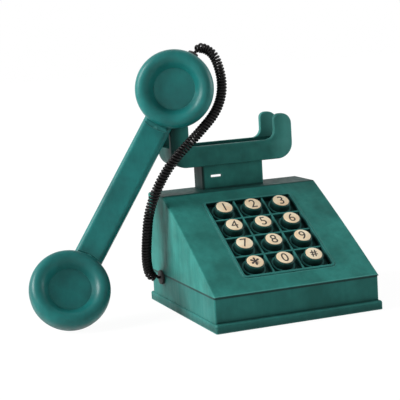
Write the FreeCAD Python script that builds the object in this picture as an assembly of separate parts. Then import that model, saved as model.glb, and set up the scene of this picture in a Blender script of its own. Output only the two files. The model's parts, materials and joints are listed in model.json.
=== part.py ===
"""A push-button desk telephone: wedge base, sprung cradle, twelve keys, handset and curly cord.

Millimetres, +Z up, front towards -Y. The origin is the middle of the base's underside.
"""

import FreeCAD, Part
import math
import os

Vector = FreeCAD.Vector
X_AXIS = Vector(1, 0, 0)
Y_AXIS = Vector(0, 1, 0)
Z_AXIS = Vector(0, 0, 1)

# Base tray: a plinth with a set-back band, standing on a rubber pad
PLINTH_WIDTH = 140.0
PLINTH_DEPTH = 147.0
PLINTH_TOP = 7.5
PLINTH_ROUND = 1.6
BAND_WIDTH = 137.8
BAND_DEPTH = 139.0
CORNER_ROUND = 1.5
RIM_LIFT = 0.6
PAD_THICKNESS = 1.2
PAD_WIDTH = 114.0
PAD_DEPTH = 126.0
PAD_ROUND = 8.0
FLOOR_TOP = 3.6
WALL = 2.6
SEAM_Z = 26.9
SEAM_GAP = 0.2

# Wedge housing
HOUSING_WIDTH = 138.8
HOUSING_DEPTH = 140.7
TOP_WIDTH = 136.5
TOP_Z = 91.8
TOP_FRONT_Y = 33.9
LIP_HEIGHT = 0.8
SLOPE_CROWN = 1.0
SLOPE_WALL = 3.0
TOP_WALL = 2.8
HOUSING_ROUND = 1.8

# Screw posts shared by the tray and the housing
POST_X = 63.2
POST_FRONT_Y = -46.0
POST_BACK_Y = 58.0
POST_RADIUS = 4.0
POST_TOP = 40.0
SCREW_RADIUS = 1.4
SCREW_HEAD_RADIUS = 2.9
SCREW_HEAD_HEIGHT = 1.8
SCREW_PLAY = 0.2

# Keypad, laid out on the slope: x across, s up the slope from the lip, h out of the slope
COLUMN_PITCH = 25.0
ROW_PITCH = 22.3
KEYS_MIDDLE_S = 62.8
KEY_NAMES = (("star", "0", "hash"), ("7", "8", "9"), ("4", "5", "6"), ("1", "2", "3"))
FRAME_WIDTH = 78.4
FRAME_BOTTOM_S = 16.1
FRAME_TOP_S = 108.5
FRAME_ROUND = 4.0
FRAME_FLANGE = 4.5
FRAME_PLAY = 0.15
BORDER_WIDTH = 2.0
BORDER_TOP_H = 1.7
RIB_TOP_H = 0.8
RIB_WIDTH = 1.4
CELL_FLOOR_H = -3.1
FRAME_BACK_H = -5.1
COLLAR_RADIUS = 9.4
COLLAR_HEIGHT = 1.5
KEY_RADIUS = 7.65
KEY_PLAY = 0.35
KEY_TOP_H = 4.4
KEY_BOTTOM_H = -8.0
KEY_FLANGE_RADIUS = 9.0
KEY_FLANGE_THICKNESS = 1.4
KEY_FACE_RADIUS = 7.0
KEY_FACE_THICKNESS = 0.8
KEY_CHAMFER = 0.5
KEY_TRAVEL = 2.2
MAT_TOP_H = KEY_BOTTOM_H - KEY_TRAVEL - 0.8
MAT_THICKNESS = 1.2
DOME_BASE_RADIUS = 6.4
DOME_TOP_RADIUS = 4.2
DOME_GAP = 0.1
BOARD_THICKNESS = 1.6
KEYPAD_POST_X = 41.5
KEYPAD_POST_RADIUS = 2.2

# Cradle and its neck
NECK_WIDTH = 54.9
NECK_FRONT_Y = 47.0
NECK_BACK_Y = 67.0
NECK_TOP_Z = 112.3
NECK_WALL = 2.2
NECK_ROUND = 1.5
NECK_FLANGE = 3.0
TOWER_WIDTH = 30.0
TOWER_BOTTOM_Z = 56.0
SEAT_TOP_Z = 72.0
SEAT_THICKNESS = 2.0
SLIT_LEFT = -20.0
SLIT_WIDTH = 9.6
SLIT_Z = 101.4
SLIT_HEIGHT = 2.0
WINDOW_LEFT = -14.5
WINDOW_WIDTH = 13.0
WINDOW_Z = 97.2
WINDOW_HEIGHT = 6.0
CRADLE_HALF_LENGTH = 54.4
CRADLE_FRONT_Y = 43.8
CRADLE_BACK_Y = 77.0
CRADLE_BOTTOM_Z = 111.5
CRADLE_SEAT_Z = 128.3
CRADLE_TIP_Z = 149.5
CRADLE_CORNER = 11.0
CRADLE_EDGE_ROUND = 1.0
PRONG_THICKNESS = 4.5
PRONG_INNER_X = 38.3
PRONG_FILLET = 5.2
PRONG_TIP_LEFT_X = 41.0
PRONG_TIP_RIGHT_X = 46.6
PRONG_SHOULDER_X = 52.4
PRONG_SHOULDER_Z = 142.4
PRONG_SIDE_Z = 133.0
POCKET_PLAY = 0.5
CRADLE_TRAVEL = 4.0
POCKET_DEPTH = CRADLE_TRAVEL + 1.5
STEM_RADIUS = 4.0
STEM_PLAY = 0.3
STEM_BOTTOM_Z = 66.0
CLIP_RADIUS = 6.6
CLIP_THICKNESS = 1.6
CLIP_Z = 88.0
SPRING_RADIUS = 6.2
SPRING_WALL = 1.1

# Ringer on the tray floor
GONG_X = 30.0
GONG_Y = 33.0
GONG_RADIUS = 22.0
GONG_BOTTOM_Z = 14.0
GONG_HEIGHT = 13.0
GONG_WALL = 1.6
GONG_POST_RADIUS = 4.0
PIVOT_Y = -1.0
PIVOT_RADIUS = 1.5
CLAPPER_Z = 21.0
CLAPPER_RADIUS = 4.5
CLAPPER_THICKNESS = 5.0
CLAPPER_ROD_RADIUS = 1.2
HUB_RADIUS = 4.2
HUB_BOTTOM_Z = 17.5
HUB_TOP_Z = 24.5
COIL_X = 12.0
COIL_RADIUS = 8.0
COIL_FRONT_Y = -27.0
COIL_BACK_Y = -10.0
CORE_RADIUS = 3.0
YOKE_THICKNESS = 2.0

# Boards and the line socket
MAIN_BOARD_WIDTH = 104.0
MAIN_BOARD_FRONT_Y = -63.0
MAIN_BOARD_BACK_Y = -33.0
MAIN_BOARD_Z = 7.0
TRANSFORMER_X = -35.0
TRANSFORMER_Y = -47.0
TRANSFORMER_CORE = 18.0
TRANSFORMER_HEIGHT = 9.0
BOARD_POST_X = 46.0
BOARD_POST_RADIUS = 2.5
JACK_X = 35.0
JACK_WIDTH = 14.0
JACK_BOTTOM_Z = 8.4
JACK_HEIGHT = 13.0
JACK_DEPTH = 13.0
SOCKET_WIDTH = 9.8
SOCKET_HEIGHT = 7.2
SOCKET_DEPTH = 10.5

# Handset, leaning on the base: two disc centres and the way its front looks
EAR_CENTRE = Vector(-157.0, 8.3, 32.5)
MOUTH_CENTRE = Vector(-54.1, 29.2, 178.0)
FRONT_NORMAL = Vector(-0.237, -0.917, 0.320)
CAP_TILT = 15.0
CAP_RADIUS = 31.8
CAP_BACK = -7.0
CAP_CREST_RADIUS = 25.8
CAP_CREST_HEIGHT = 7.0
CAP_SKIRT_INNER = 28.6
BOWL_MID_RADIUS = 20.6
BOWL_MID_HEIGHT = 4.5
DISC_RADIUS = 16.2
DISC_EDGE_HEIGHT = 3.2
DISC_TOP = 1.8
DISC_THICKNESS = 1.6
DISC_LEDGE = 14.0
CUP_RADIUS = 30.8
CUP_BAND = 3.0
CUP_BACK_RADIUS = 17.0
CUP_BACK = -22.0
CUP_SEAM = 0.12
WIRE_WAY_RADIUS = 3.0
SPIGOT_RADIUS = 28.3
SPIGOT_TOP = -2.4
CAPSULE_RADIUS = 25.0
CAPSULE_THICKNESS = 10.0
HANDLE_WIDTH = 23.5
HANDLE_FRONT = -16.0
HANDLE_BACK = -35.0
HANDLE_END_BACK = -26.0
HANDLE_ROUND = 4.0
HANDLE_OVERLAP = 6.0
GROMMET_FROM_CENTRE = 28.4

# Curly cord between the handset and the base's left wall
CORD_OUTER_DIAMETER = 8.4
CORD_WIRE_DIAMETER = 1.6
CORD_WIRE_SIDES = 3
CORD_CURLS = 66
CORD_RAMP = 9.0
CORD_BASE_Y = 44.2
CORD_BASE_Z = 24.1
CORD_EXIT_BEYOND_CENTRE = 36.0
CORD_EXIT_BACK = -8.0
GROMMET_RADIUS = 4.4
GROMMET_FLANGE_RADIUS = 5.8
GROMMET_FLANGE = 1.6
HALF_TURN = math.pi


def box(x_span, y_span, z_span):
    """A box from three (low, high) pairs."""
    corner = Vector(x_span[0], y_span[0], z_span[0])
    return Part.makeBox(x_span[1] - x_span[0], y_span[1] - y_span[0], z_span[1] - z_span[0], corner)


def across(width):
    """The (low, high) pair of a width centred on zero."""
    return (-width / 2, width / 2)


def rounded_plate(x_span, y_span, z_span, radius):
    """A box whose upright edges are rounded."""
    plate = box(x_span, y_span, z_span)
    upright = [e for e in plate.Edges if abs(e.tangentAt(e.FirstParameter).z) > 0.9]
    return plate.makeFillet(radius, upright)


def rod(radius, start, end):
    """A cylinder from one point to another."""
    along = end - start
    return Part.makeCylinder(radius, along.Length, start, along)


def outline(start, *moves):
    """A face from a start point and moves: one point is a line, two are an arc and its end."""
    edges = []
    here = start
    for move in moves:
        if len(move) == 1:
            edges.append(Part.LineSegment(here, move[0]).toShape())
        else:
            edges.append(Part.Arc(here, move[0], move[1]).toShape())
        here = move[-1]
    if here.distanceToPoint(start) > 1e-6:
        edges.append(Part.LineSegment(here, start).toShape())
    return Part.Face(Part.Wire(edges))


def turned(face):
    """A face in the XZ plane, turned once about the Z axis."""
    return face.revolve(Vector(), Z_AXIS, 360)


def joined(first, *others):
    """One solid from several that touch."""
    return first.multiFuse(list(others)).removeSplitter()


def frame_of(x_way, y_way, z_way, origin):
    """The placement that carries the local axes to three directions at an origin."""
    matrix = FreeCAD.Matrix(
        x_way.x, y_way.x, z_way.x, origin.x,
        x_way.y, y_way.y, z_way.y, origin.y,
        x_way.z, y_way.z, z_way.z, origin.z,
        0, 0, 0, 1,
    )
    return FreeCAD.Placement(matrix)


def placed(shape, placement):
    """A copy of a shape carried by a placement."""
    moved = shape.copy()
    moved.Placement = placement.multiply(moved.Placement)
    return moved


def export(name, shape):
    """Writes one node and says whether it is sound."""
    shape.exportStep("parts/%s.step" % name)
    sound = shape.isValid() and all(solid.isClosed() for solid in shape.Solids)
    if not sound or not shape.Solids:
        print("UNSOUND", name, shape.isValid(), len(shape.Solids))


# The slope's own axes
LIP = Vector(0, -HOUSING_DEPTH / 2, SEAM_Z)
SLOPE_VECTOR = Vector(0, TOP_FRONT_Y, TOP_Z) - LIP
UPSLOPE = Vector(SLOPE_VECTOR).normalize()
OUTWARD = X_AXIS.cross(UPSLOPE)
ON_SLOPE = frame_of(X_AXIS, UPSLOPE, OUTWARD, LIP)

# The handset's own axes: x along the handle to the mouthpiece, z out of its front
HANDLE_WAY = (MOUTH_CENTRE - EAR_CENTRE).normalize()
FACE_WAY = (FRONT_NORMAL - HANDLE_WAY * FRONT_NORMAL.dot(HANDLE_WAY)).normalize()
SIDE_WAY = FACE_WAY.cross(HANDLE_WAY)
DISC_SPACING = (MOUTH_CENTRE - EAR_CENTRE).Length
HANDSET_MIDDLE = (MOUTH_CENTRE + EAR_CENTRE) * 0.5
ON_HANDSET = frame_of(HANDLE_WAY, SIDE_WAY, FACE_WAY, HANDSET_MIDDLE)

POST_PLACES = [(x, y) for x in (-POST_X, POST_X) for y in (POST_FRONT_Y, POST_BACK_Y)]
CORD_BASE = Vector(-BAND_WIDTH / 2 - GROMMET_FLANGE - 0.5, CORD_BASE_Y, CORD_BASE_Z)


def cord_hole():
    """The round hole in the left wall, half in the tray and half in the housing."""
    inside = Vector(-HOUSING_WIDTH / 2 + 2 * WALL, CORD_BASE_Y, CORD_BASE_Z)
    return rod(GROMMET_RADIUS, inside, inside - X_AXIS * 12)


def key_centres():
    """Each key's name with its place on the slope."""
    for row, names in enumerate(KEY_NAMES):
        for column, name in enumerate(names):
            yield name, (column - 1) * COLUMN_PITCH, KEYS_MIDDLE_S + (row - 1.5) * ROW_PITCH


def make_tray():
    """Plinth, band, floor, screw posts and board posts in one moulding."""
    plinth = rounded_plate(across(PLINTH_WIDTH), across(PLINTH_DEPTH), (RIM_LIFT, PLINTH_TOP), CORNER_ROUND)
    top_rim = [e for e in plinth.Edges if abs(e.BoundBox.ZMin - PLINTH_TOP) < 0.01]
    plinth = plinth.makeFillet(PLINTH_ROUND, top_rim)
    band_top = SEAM_Z - SEAM_GAP
    band = rounded_plate(across(BAND_WIDTH), across(BAND_DEPTH), (RIM_LIFT + 1, band_top), CORNER_ROUND)
    hollow = box(across(BAND_WIDTH - 2 * WALL), across(BAND_DEPTH - 2 * WALL), (FLOOR_TOP, SEAM_Z))
    tray = joined(plinth, band).cut(hollow)
    posts = [rod(POST_RADIUS, Vector(x, y, RIM_LIFT + 1), Vector(x, y, band_top)) for x, y in POST_PLACES]
    for x in (-BOARD_POST_X, BOARD_POST_X):
        for y in (MAIN_BOARD_FRONT_Y + 3, MAIN_BOARD_BACK_Y - 3):
            posts.append(rod(BOARD_POST_RADIUS, Vector(x, y, RIM_LIFT + 1), Vector(x, y, MAIN_BOARD_Z)))
    tray = joined(tray, *posts)
    pad_seat = rounded_plate(
        across(PAD_WIDTH + 0.4), across(PAD_DEPTH + 0.4), (RIM_LIFT - 1, PAD_THICKNESS), PAD_ROUND
    )
    holes = [rod(SCREW_RADIUS + SCREW_PLAY, Vector(x, y, 0), Vector(x, y, SEAM_Z)) for x, y in POST_PLACES]
    holes += [
        rod(SCREW_HEAD_RADIUS + SCREW_PLAY, Vector(x, y, 0), Vector(x, y, RIM_LIFT + 0.4 + SCREW_HEAD_HEIGHT))
        for x, y in POST_PLACES
    ]
    jack_hole = box(
        (JACK_X - JACK_WIDTH / 2, JACK_X + JACK_WIDTH / 2),
        (BAND_DEPTH / 2 - 2 * WALL, BAND_DEPTH / 2 + 1),
        (JACK_BOTTOM_Z, JACK_BOTTOM_Z + JACK_HEIGHT),
    )
    return tray.cut(pad_seat).cut(holes).cut([jack_hole, cord_hole()])


def make_housing():
    """Hollow wedge with a crowned slope, open for the keypad, the neck and the cord."""
    front = -HOUSING_DEPTH / 2
    back = HOUSING_DEPTH / 2
    lip_top = Vector(0, front, SEAM_Z + LIP_HEIGHT)
    brow = Vector(0, TOP_FRONT_Y, TOP_Z)
    crown = (lip_top + brow) * 0.5 + OUTWARD * SLOPE_CROWN
    side = outline(
        Vector(0, front, SEAM_Z),
        (lip_top,),
        (crown, brow),
        (Vector(0, back, TOP_Z),),
        (Vector(0, back, SEAM_Z),),
    )
    side.translate(X_AXIS * -HOUSING_WIDTH)
    wedge = side.extrude(X_AXIS * 2 * HOUSING_WIDTH)
    taper = outline(
        Vector(-HOUSING_WIDTH / 2, front - 5, SEAM_Z),
        (Vector(HOUSING_WIDTH / 2, front - 5, SEAM_Z),),
        (Vector(TOP_WIDTH / 2, front - 5, TOP_Z),),
        (Vector(-TOP_WIDTH / 2, front - 5, TOP_Z),),
    ).extrude(Y_AXIS * (HOUSING_DEPTH + 10))
    outer = wedge.common(taper)
    above_lip = [e for e in outer.Edges if e.BoundBox.ZMax > SEAM_Z + 2 * LIP_HEIGHT]
    outer = outer.makeFillet(HOUSING_ROUND, above_lip)
    slope_foot = LIP - OUTWARD * SLOPE_WALL - UPSLOPE * 4
    reach = (TOP_Z - TOP_WALL - slope_foot.z) / UPSLOPE.z
    inner_brow = slope_foot + UPSLOPE * reach
    inner = outline(
        slope_foot,
        (inner_brow,),
        (Vector(0, back - TOP_WALL, inner_brow.z),),
        (Vector(0, back - TOP_WALL, slope_foot.z),),
    )
    inner.translate(X_AXIS * -(TOP_WIDTH / 2 - WALL))
    hollow = inner.extrude(X_AXIS * (TOP_WIDTH - 2 * WALL))
    shell = outer.cut(hollow)
    posts = [rod(POST_RADIUS, Vector(x, y, SEAM_Z), Vector(x, y, POST_TOP)) for x, y in POST_PLACES]
    shell = joined(shell, *[post.common(outer) for post in posts])
    pilots = [rod(SCREW_RADIUS + 0.1, Vector(x, y, 0), Vector(x, y, POST_TOP - 4)) for x, y in POST_PLACES]
    window = rounded_plate(
        across(FRAME_WIDTH + 2 * FRAME_PLAY),
        (FRAME_BOTTOM_S - FRAME_PLAY, FRAME_TOP_S + FRAME_PLAY),
        (-8.0, 8.0),
        FRAME_ROUND,
    )
    neck_hole = box(
        across(NECK_WIDTH + 0.2), (NECK_FRONT_Y - 0.1, NECK_BACK_Y + 0.1), (TOP_Z - 2 * TOP_WALL, TOP_Z + 1)
    )
    return shell.cut(pilots).cut([placed(window, ON_SLOPE), neck_hole, cord_hole()])


def make_housing_screws():
    """Four screws from below, through the tray posts into the housing posts."""
    screws = []
    for x, y in POST_PLACES:
        head_low = Vector(x, y, RIM_LIFT + 0.4)
        head_high = head_low + Z_AXIS * SCREW_HEAD_HEIGHT
        shank = rod(SCREW_RADIUS, head_high, Vector(x, y, POST_TOP - 6))
        screws.append(joined(rod(SCREW_HEAD_RADIUS, head_low, head_high), shank))
    return Part.makeCompound(screws)


def make_keypad_frame():
    """Raised border, ribs and twelve collared cells, with a flange behind the slope."""
    frame = rounded_plate(
        across(FRAME_WIDTH), (FRAME_BOTTOM_S, FRAME_TOP_S), (FRAME_BACK_H, BORDER_TOP_H), FRAME_ROUND
    )
    rim = [e for e in frame.Edges if abs(e.BoundBox.ZMin - BORDER_TOP_H) < 0.01]
    frame = frame.makeFillet(BORDER_WIDTH / 3, rim)
    flange = box(
        across(FRAME_WIDTH + 2 * FRAME_FLANGE),
        (FRAME_BOTTOM_S - FRAME_FLANGE, FRAME_TOP_S + FRAME_FLANGE),
        (FRAME_BACK_H, CELL_FLOOR_H),
    )
    inside = rounded_plate(
        across(FRAME_WIDTH - 2 * BORDER_WIDTH),
        (FRAME_BOTTOM_S + BORDER_WIDTH, FRAME_TOP_S - BORDER_WIDTH),
        (RIB_TOP_H, BORDER_TOP_H + 1),
        FRAME_ROUND - BORDER_WIDTH,
    )
    frame = joined(frame, flange).cut(inside)
    cells = []
    collars = []
    bores = []
    half_x = (COLUMN_PITCH - RIB_WIDTH) / 2
    half_s = (ROW_PITCH - RIB_WIDTH) / 2
    for _, x, s in key_centres():
        cells.append(box((x - half_x, x + half_x), (s - half_s, s + half_s), (CELL_FLOOR_H, BORDER_TOP_H)))
        floor = Vector(x, s, CELL_FLOOR_H)
        collars.append(rod(COLLAR_RADIUS, floor - Z_AXIS, floor + Z_AXIS * COLLAR_HEIGHT))
        bores.append(rod(KEY_RADIUS + KEY_PLAY, floor - Z_AXIS * 5, floor + Z_AXIS * 5))
    frame = joined(frame.cut(cells), *collars).cut(bores)
    return placed(joined(frame, *keypad_posts(KEYPAD_POST_RADIUS, FRAME_BACK_H, MAT_TOP_H)), ON_SLOPE)


def keypad_posts(radius, high, low):
    """Four upright pins in the frame's corners, between two heights."""
    ends = (FRAME_BOTTOM_S, FRAME_TOP_S)
    places = [(x, s) for x in (-KEYPAD_POST_X, KEYPAD_POST_X) for s in ends]
    return [rod(radius, Vector(x, s, low), Vector(x, s, high)) for x, s in places]


def make_dome_mat():
    """Silicone sheet with one dome under each key."""
    mat = box(
        across(FRAME_WIDTH + 2 * FRAME_FLANGE),
        (FRAME_BOTTOM_S - FRAME_FLANGE, FRAME_TOP_S + FRAME_FLANGE),
        (MAT_TOP_H - MAT_THICKNESS, MAT_TOP_H),
    )
    height = KEY_BOTTOM_H - DOME_GAP - MAT_TOP_H
    domes = [
        Part.makeCone(DOME_BASE_RADIUS, DOME_TOP_RADIUS, height, Vector(x, s, MAT_TOP_H))
        for _, x, s in key_centres()
    ]
    holes = keypad_posts(SCREW_RADIUS + SCREW_PLAY, MAT_TOP_H + 1, MAT_TOP_H - 3)
    return placed(joined(mat, *domes).cut(holes), ON_SLOPE)


def make_keypad_board():
    """Circuit board behind the dome mat."""
    top = MAT_TOP_H - MAT_THICKNESS
    board = box(
        across(FRAME_WIDTH + 2 * FRAME_FLANGE),
        (FRAME_BOTTOM_S - FRAME_FLANGE, FRAME_TOP_S + FRAME_FLANGE),
        (top - BOARD_THICKNESS, top),
    )
    return placed(board.cut(keypad_posts(SCREW_RADIUS + SCREW_PLAY, top + 1, top - 3)), ON_SLOPE)


def make_key(x, s):
    """A round button with a chamfered top, held by a flange behind the frame."""
    flange_top = KEY_BOTTOM_H + KEY_FLANGE_THICKNESS
    low = Vector(x, s, KEY_BOTTOM_H)
    high = Vector(x, s, KEY_TOP_H)
    body = rod(KEY_RADIUS, low, high)
    top_rim = [e for e in body.Edges if abs(e.BoundBox.ZMin - KEY_TOP_H) < 0.01]
    body = body.makeChamfer(KEY_CHAMFER, top_rim)
    flange = rod(KEY_FLANGE_RADIUS, low, Vector(x, s, flange_top))
    return placed(joined(body, flange), ON_SLOPE)


def make_key_face(x, s):
    """The cream disc on a button."""
    low = Vector(x, s, KEY_TOP_H)
    return placed(rod(KEY_FACE_RADIUS, low, low + Z_AXIS * KEY_FACE_THICKNESS), ON_SLOPE)


def make_neck():
    """Hollow post under the cradle, with a sight slit and an inner tower for the hook parts."""
    middle_y = (NECK_FRONT_Y + NECK_BACK_Y) / 2
    under_top = TOP_Z - TOP_WALL
    post = rounded_plate(
        across(NECK_WIDTH), (NECK_FRONT_Y, NECK_BACK_Y), (under_top - NECK_FLANGE, NECK_TOP_Z), NECK_ROUND
    )
    flange = box(
        across(NECK_WIDTH + 4 * NECK_FLANGE),
        (NECK_FRONT_Y - 2 * NECK_FLANGE, NECK_BACK_Y),
        (under_top - NECK_FLANGE, under_top),
    )
    tower = box(across(TOWER_WIDTH), (NECK_FRONT_Y, NECK_BACK_Y), (TOWER_BOTTOM_Z, under_top))
    roof = NECK_TOP_Z - 2 * NECK_WALL
    seat_low = SEAT_TOP_Z - SEAT_THICKNESS
    room_y = (NECK_FRONT_Y + NECK_WALL, NECK_BACK_Y - NECK_WALL)
    upper_room = box(across(NECK_WIDTH - 2 * NECK_WALL), room_y, (under_top, roof))
    lower_room = box(across(TOWER_WIDTH - 2 * NECK_WALL), room_y, (SEAT_TOP_Z, under_top))
    switch_room = box(
        across(TOWER_WIDTH - 2 * NECK_WALL),
        (NECK_FRONT_Y - 1, NECK_BACK_Y + 1),
        (TOWER_BOTTOM_Z - 1, seat_low),
    )
    bore = rod(STEM_RADIUS + STEM_PLAY, Vector(0, middle_y, SEAT_TOP_Z - 5), Vector(0, middle_y, NECK_TOP_Z + 1))
    slit = box(
        (SLIT_LEFT, SLIT_LEFT + SLIT_WIDTH),
        (NECK_FRONT_Y - 1, NECK_FRONT_Y + NECK_WALL + 1),
        (SLIT_Z, SLIT_Z + SLIT_HEIGHT),
    )
    window = box(
        (WINDOW_LEFT, WINDOW_LEFT + WINDOW_WIDTH),
        (NECK_BACK_Y - NECK_WALL - 1, NECK_BACK_Y + 1),
        (WINDOW_Z, WINDOW_Z + WINDOW_HEIGHT),
    )
    neck = joined(post, flange, tower)
    return neck.cut([upper_room, lower_room, switch_room, bore, slit, window])


def make_hook_switch():
    """Contact block in the tower, which the stem's foot enters."""
    middle_y = (NECK_FRONT_Y + NECK_BACK_Y) / 2
    room = TOWER_WIDTH - 2 * NECK_WALL
    block = box(across(room), (NECK_FRONT_Y + 1, NECK_BACK_Y - 1), (TOWER_BOTTOM_Z, STEM_BOTTOM_Z - 2))
    pins = [
        box((x - 0.5, x + 0.5), (middle_y - 2, middle_y + 2), (TOWER_BOTTOM_Z - 5, TOWER_BOTTOM_Z))
        for x in (-8.0, -4.0, 4.0, 8.0)
    ]
    well = rod(STEM_RADIUS + 2 * STEM_PLAY, Vector(0, middle_y, TOWER_BOTTOM_Z + 2), Vector(0, middle_y, TOP_Z))
    return joined(block, *pins).cut(well)


def make_cradle():
    """Beam with four prongs, hollow below so that it slides down over the neck."""
    half = CRADLE_HALF_LENGTH
    sloped = CRADLE_CORNER * (1 - math.sqrt(0.5))
    elbow = PRONG_FILLET * (1 - math.sqrt(0.5))

    def at(x, z):
        return Vector(x, CRADLE_FRONT_Y, z)

    def end_moves(side):
        """The moves round one end, from under the beam up to the seat."""
        return [
            (
                at(side * (half - sloped), CRADLE_BOTTOM_Z + sloped),
                at(side * half, CRADLE_BOTTOM_Z + CRADLE_CORNER),
            ),
            (at(side * half, PRONG_SIDE_Z),),
            (at(side * PRONG_SHOULDER_X, PRONG_SHOULDER_Z), at(side * PRONG_TIP_RIGHT_X, CRADLE_TIP_Z)),
            (at(side * PRONG_TIP_LEFT_X, CRADLE_TIP_Z),),
            (at(side * PRONG_INNER_X, CRADLE_TIP_Z - 2.6),),
            (at(side * PRONG_INNER_X, CRADLE_SEAT_Z + PRONG_FILLET),),
            (
                at(side * (PRONG_INNER_X - elbow), CRADLE_SEAT_Z + elbow),
                at(side * (PRONG_INNER_X - PRONG_FILLET), CRADLE_SEAT_Z),
            ),
        ]

    right = end_moves(1)
    left_points = [at(-half + CRADLE_CORNER, CRADLE_BOTTOM_Z)]
    moves = [(at(half - CRADLE_CORNER, CRADLE_BOTTOM_Z),)] + right
    left = end_moves(-1)
    corners = [left_points[0]] + [move[-1] for move in left]
    moves.append((corners[-1],))
    for index in range(len(left) - 1, -1, -1):
        end = corners[index]
        moves.append((left[index][0], end) if len(left[index]) == 2 else (end,))
    body = outline(left_points[0], *moves).extrude(Y_AXIS * (CRADLE_BACK_Y - CRADLE_FRONT_Y))
    rims = [e for e in body.Edges if e.BoundBox.YLength < 0.01]
    body = body.makeFillet(CRADLE_EDGE_ROUND, rims)
    notch = box(
        across(2 * half + 10),
        (CRADLE_FRONT_Y + PRONG_THICKNESS, CRADLE_BACK_Y - PRONG_THICKNESS),
        (CRADLE_SEAT_Z, CRADLE_TIP_Z + 5),
    )
    pocket = box(
        across(NECK_WIDTH + 2 * POCKET_PLAY),
        (NECK_FRONT_Y - POCKET_PLAY, NECK_BACK_Y + POCKET_PLAY),
        (CRADLE_BOTTOM_Z - 1, CRADLE_BOTTOM_Z + POCKET_DEPTH),
    )
    return body.cut([notch, pocket])


def hook_axis(z):
    """A point on the stem's axis."""
    return Vector(0, (NECK_FRONT_Y + NECK_BACK_Y) / 2, z)


def make_stem():
    """Round stem under the cradle that works the hook switch."""
    return rod(STEM_RADIUS, hook_axis(STEM_BOTTOM_Z), hook_axis(CRADLE_BOTTOM_Z + POCKET_DEPTH))


def make_stem_clip():
    """Ring on the stem that the spring lifts."""
    ring = rod(CLIP_RADIUS, hook_axis(CLIP_Z), hook_axis(CLIP_Z + CLIP_THICKNESS))
    return ring.cut(rod(STEM_RADIUS + 0.05, hook_axis(CLIP_Z - 1), hook_axis(CLIP_Z + 5)))


def make_hook_spring():
    """Sleeve-shaped stand-in for the coil spring round the stem."""
    sleeve = rod(SPRING_RADIUS, hook_axis(SEAT_TOP_Z), hook_axis(CLIP_Z))
    return sleeve.cut(rod(SPRING_RADIUS - SPRING_WALL, hook_axis(SEAT_TOP_Z - 1), hook_axis(CLIP_Z + 1)))


def make_ringer_frame():
    """Floor plate with a coil yoke, a clapper pin and two gong posts."""
    plate = box(across(2 * GONG_X + 12), (COIL_FRONT_Y - YOKE_THICKNESS, GONG_Y + 6), (FLOOR_TOP, FLOOR_TOP + 2))
    yoke = box(
        across(2 * (COIL_X + COIL_RADIUS)),
        (COIL_FRONT_Y - YOKE_THICKNESS, COIL_FRONT_Y),
        (FLOOR_TOP, CLAPPER_Z + COIL_RADIUS),
    )
    pin = rod(PIVOT_RADIUS, Vector(0, PIVOT_Y, FLOOR_TOP), Vector(0, PIVOT_Y, HUB_TOP_Z + 2))
    shelf = rod(HUB_RADIUS, Vector(0, PIVOT_Y, FLOOR_TOP), Vector(0, PIVOT_Y, HUB_BOTTOM_Z - 0.3))
    posts = [
        rod(GONG_POST_RADIUS, Vector(x, GONG_Y, FLOOR_TOP), Vector(x, GONG_Y, GONG_BOTTOM_Z + GONG_HEIGHT - GONG_WALL))
        for x in (-GONG_X, GONG_X)
    ]
    return joined(plate, yoke, pin, shelf, *posts)


def make_ringer_coils():
    """Two wound bobbins, joined by a bridge, with their cores."""
    coils = []
    for x in (-COIL_X, COIL_X):
        front = Vector(x, COIL_FRONT_Y, CLAPPER_Z)
        back = Vector(x, COIL_BACK_Y, CLAPPER_Z)
        coils.append(rod(COIL_RADIUS, front, back - Y_AXIS * 2))
        coils.append(rod(CORE_RADIUS, front, back))
    bridge = box(across(2 * COIL_X), (COIL_FRONT_Y, COIL_FRONT_Y + 3), (CLAPPER_Z - 3, CLAPPER_Z + 3))
    return joined(bridge, *coils)


def make_gong(x):
    """A domed bell, fixed at its crown."""
    rise = GONG_HEIGHT - GONG_WALL
    crown = GONG_RADIUS * 0.55
    shoulder = GONG_RADIUS * 0.88
    dome = outline(
        Vector(GONG_RADIUS - GONG_WALL, 0, 0),
        (Vector(GONG_RADIUS, 0, 0),),
        (Vector(shoulder, 0, GONG_HEIGHT * 0.7),),
        (Vector(crown, 0, GONG_HEIGHT),),
        (Vector(SCREW_RADIUS + SCREW_PLAY, 0, GONG_HEIGHT),),
        (Vector(SCREW_RADIUS + SCREW_PLAY, 0, rise),),
        (Vector(crown, 0, rise),),
        (Vector(shoulder - GONG_WALL, 0, rise * 0.66),),
    )
    bell = turned(dome)
    bell.translate(Vector(x, GONG_Y, GONG_BOTTOM_Z))
    return bell


def make_gong_screws():
    """A pan-head screw on each gong's crown."""
    crown = GONG_BOTTOM_Z + GONG_HEIGHT
    heads = [rod(3.0, Vector(x, GONG_Y, crown), Vector(x, GONG_Y, crown + 2)) for x in (-GONG_X, GONG_X)]
    return Part.makeCompound(heads)


def make_clapper():
    """Hub on the pin, an armature in front of the cores, and a rod with a striker between the gongs."""
    hub = rod(HUB_RADIUS, Vector(0, PIVOT_Y, HUB_BOTTOM_Z), Vector(0, PIVOT_Y, HUB_TOP_Z))
    armature = box(across(2 * COIL_X + 4), (PIVOT_Y - 6, PIVOT_Y - 3.5), (CLAPPER_Z - 3, CLAPPER_Z + 3))
    arm = rod(CLAPPER_ROD_RADIUS, Vector(0, PIVOT_Y, CLAPPER_Z), Vector(0, GONG_Y, CLAPPER_Z))
    half = Z_AXIS * (CLAPPER_THICKNESS / 2)
    striker_place = Vector(0, GONG_Y, CLAPPER_Z)
    striker = rod(CLAPPER_RADIUS, striker_place - half, striker_place + half)
    bore = rod(PIVOT_RADIUS + 0.1, Vector(0, PIVOT_Y, 0), Vector(0, PIVOT_Y, HUB_TOP_Z + 5))
    return joined(hub, armature, arm, striker).cut(bore)


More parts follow.
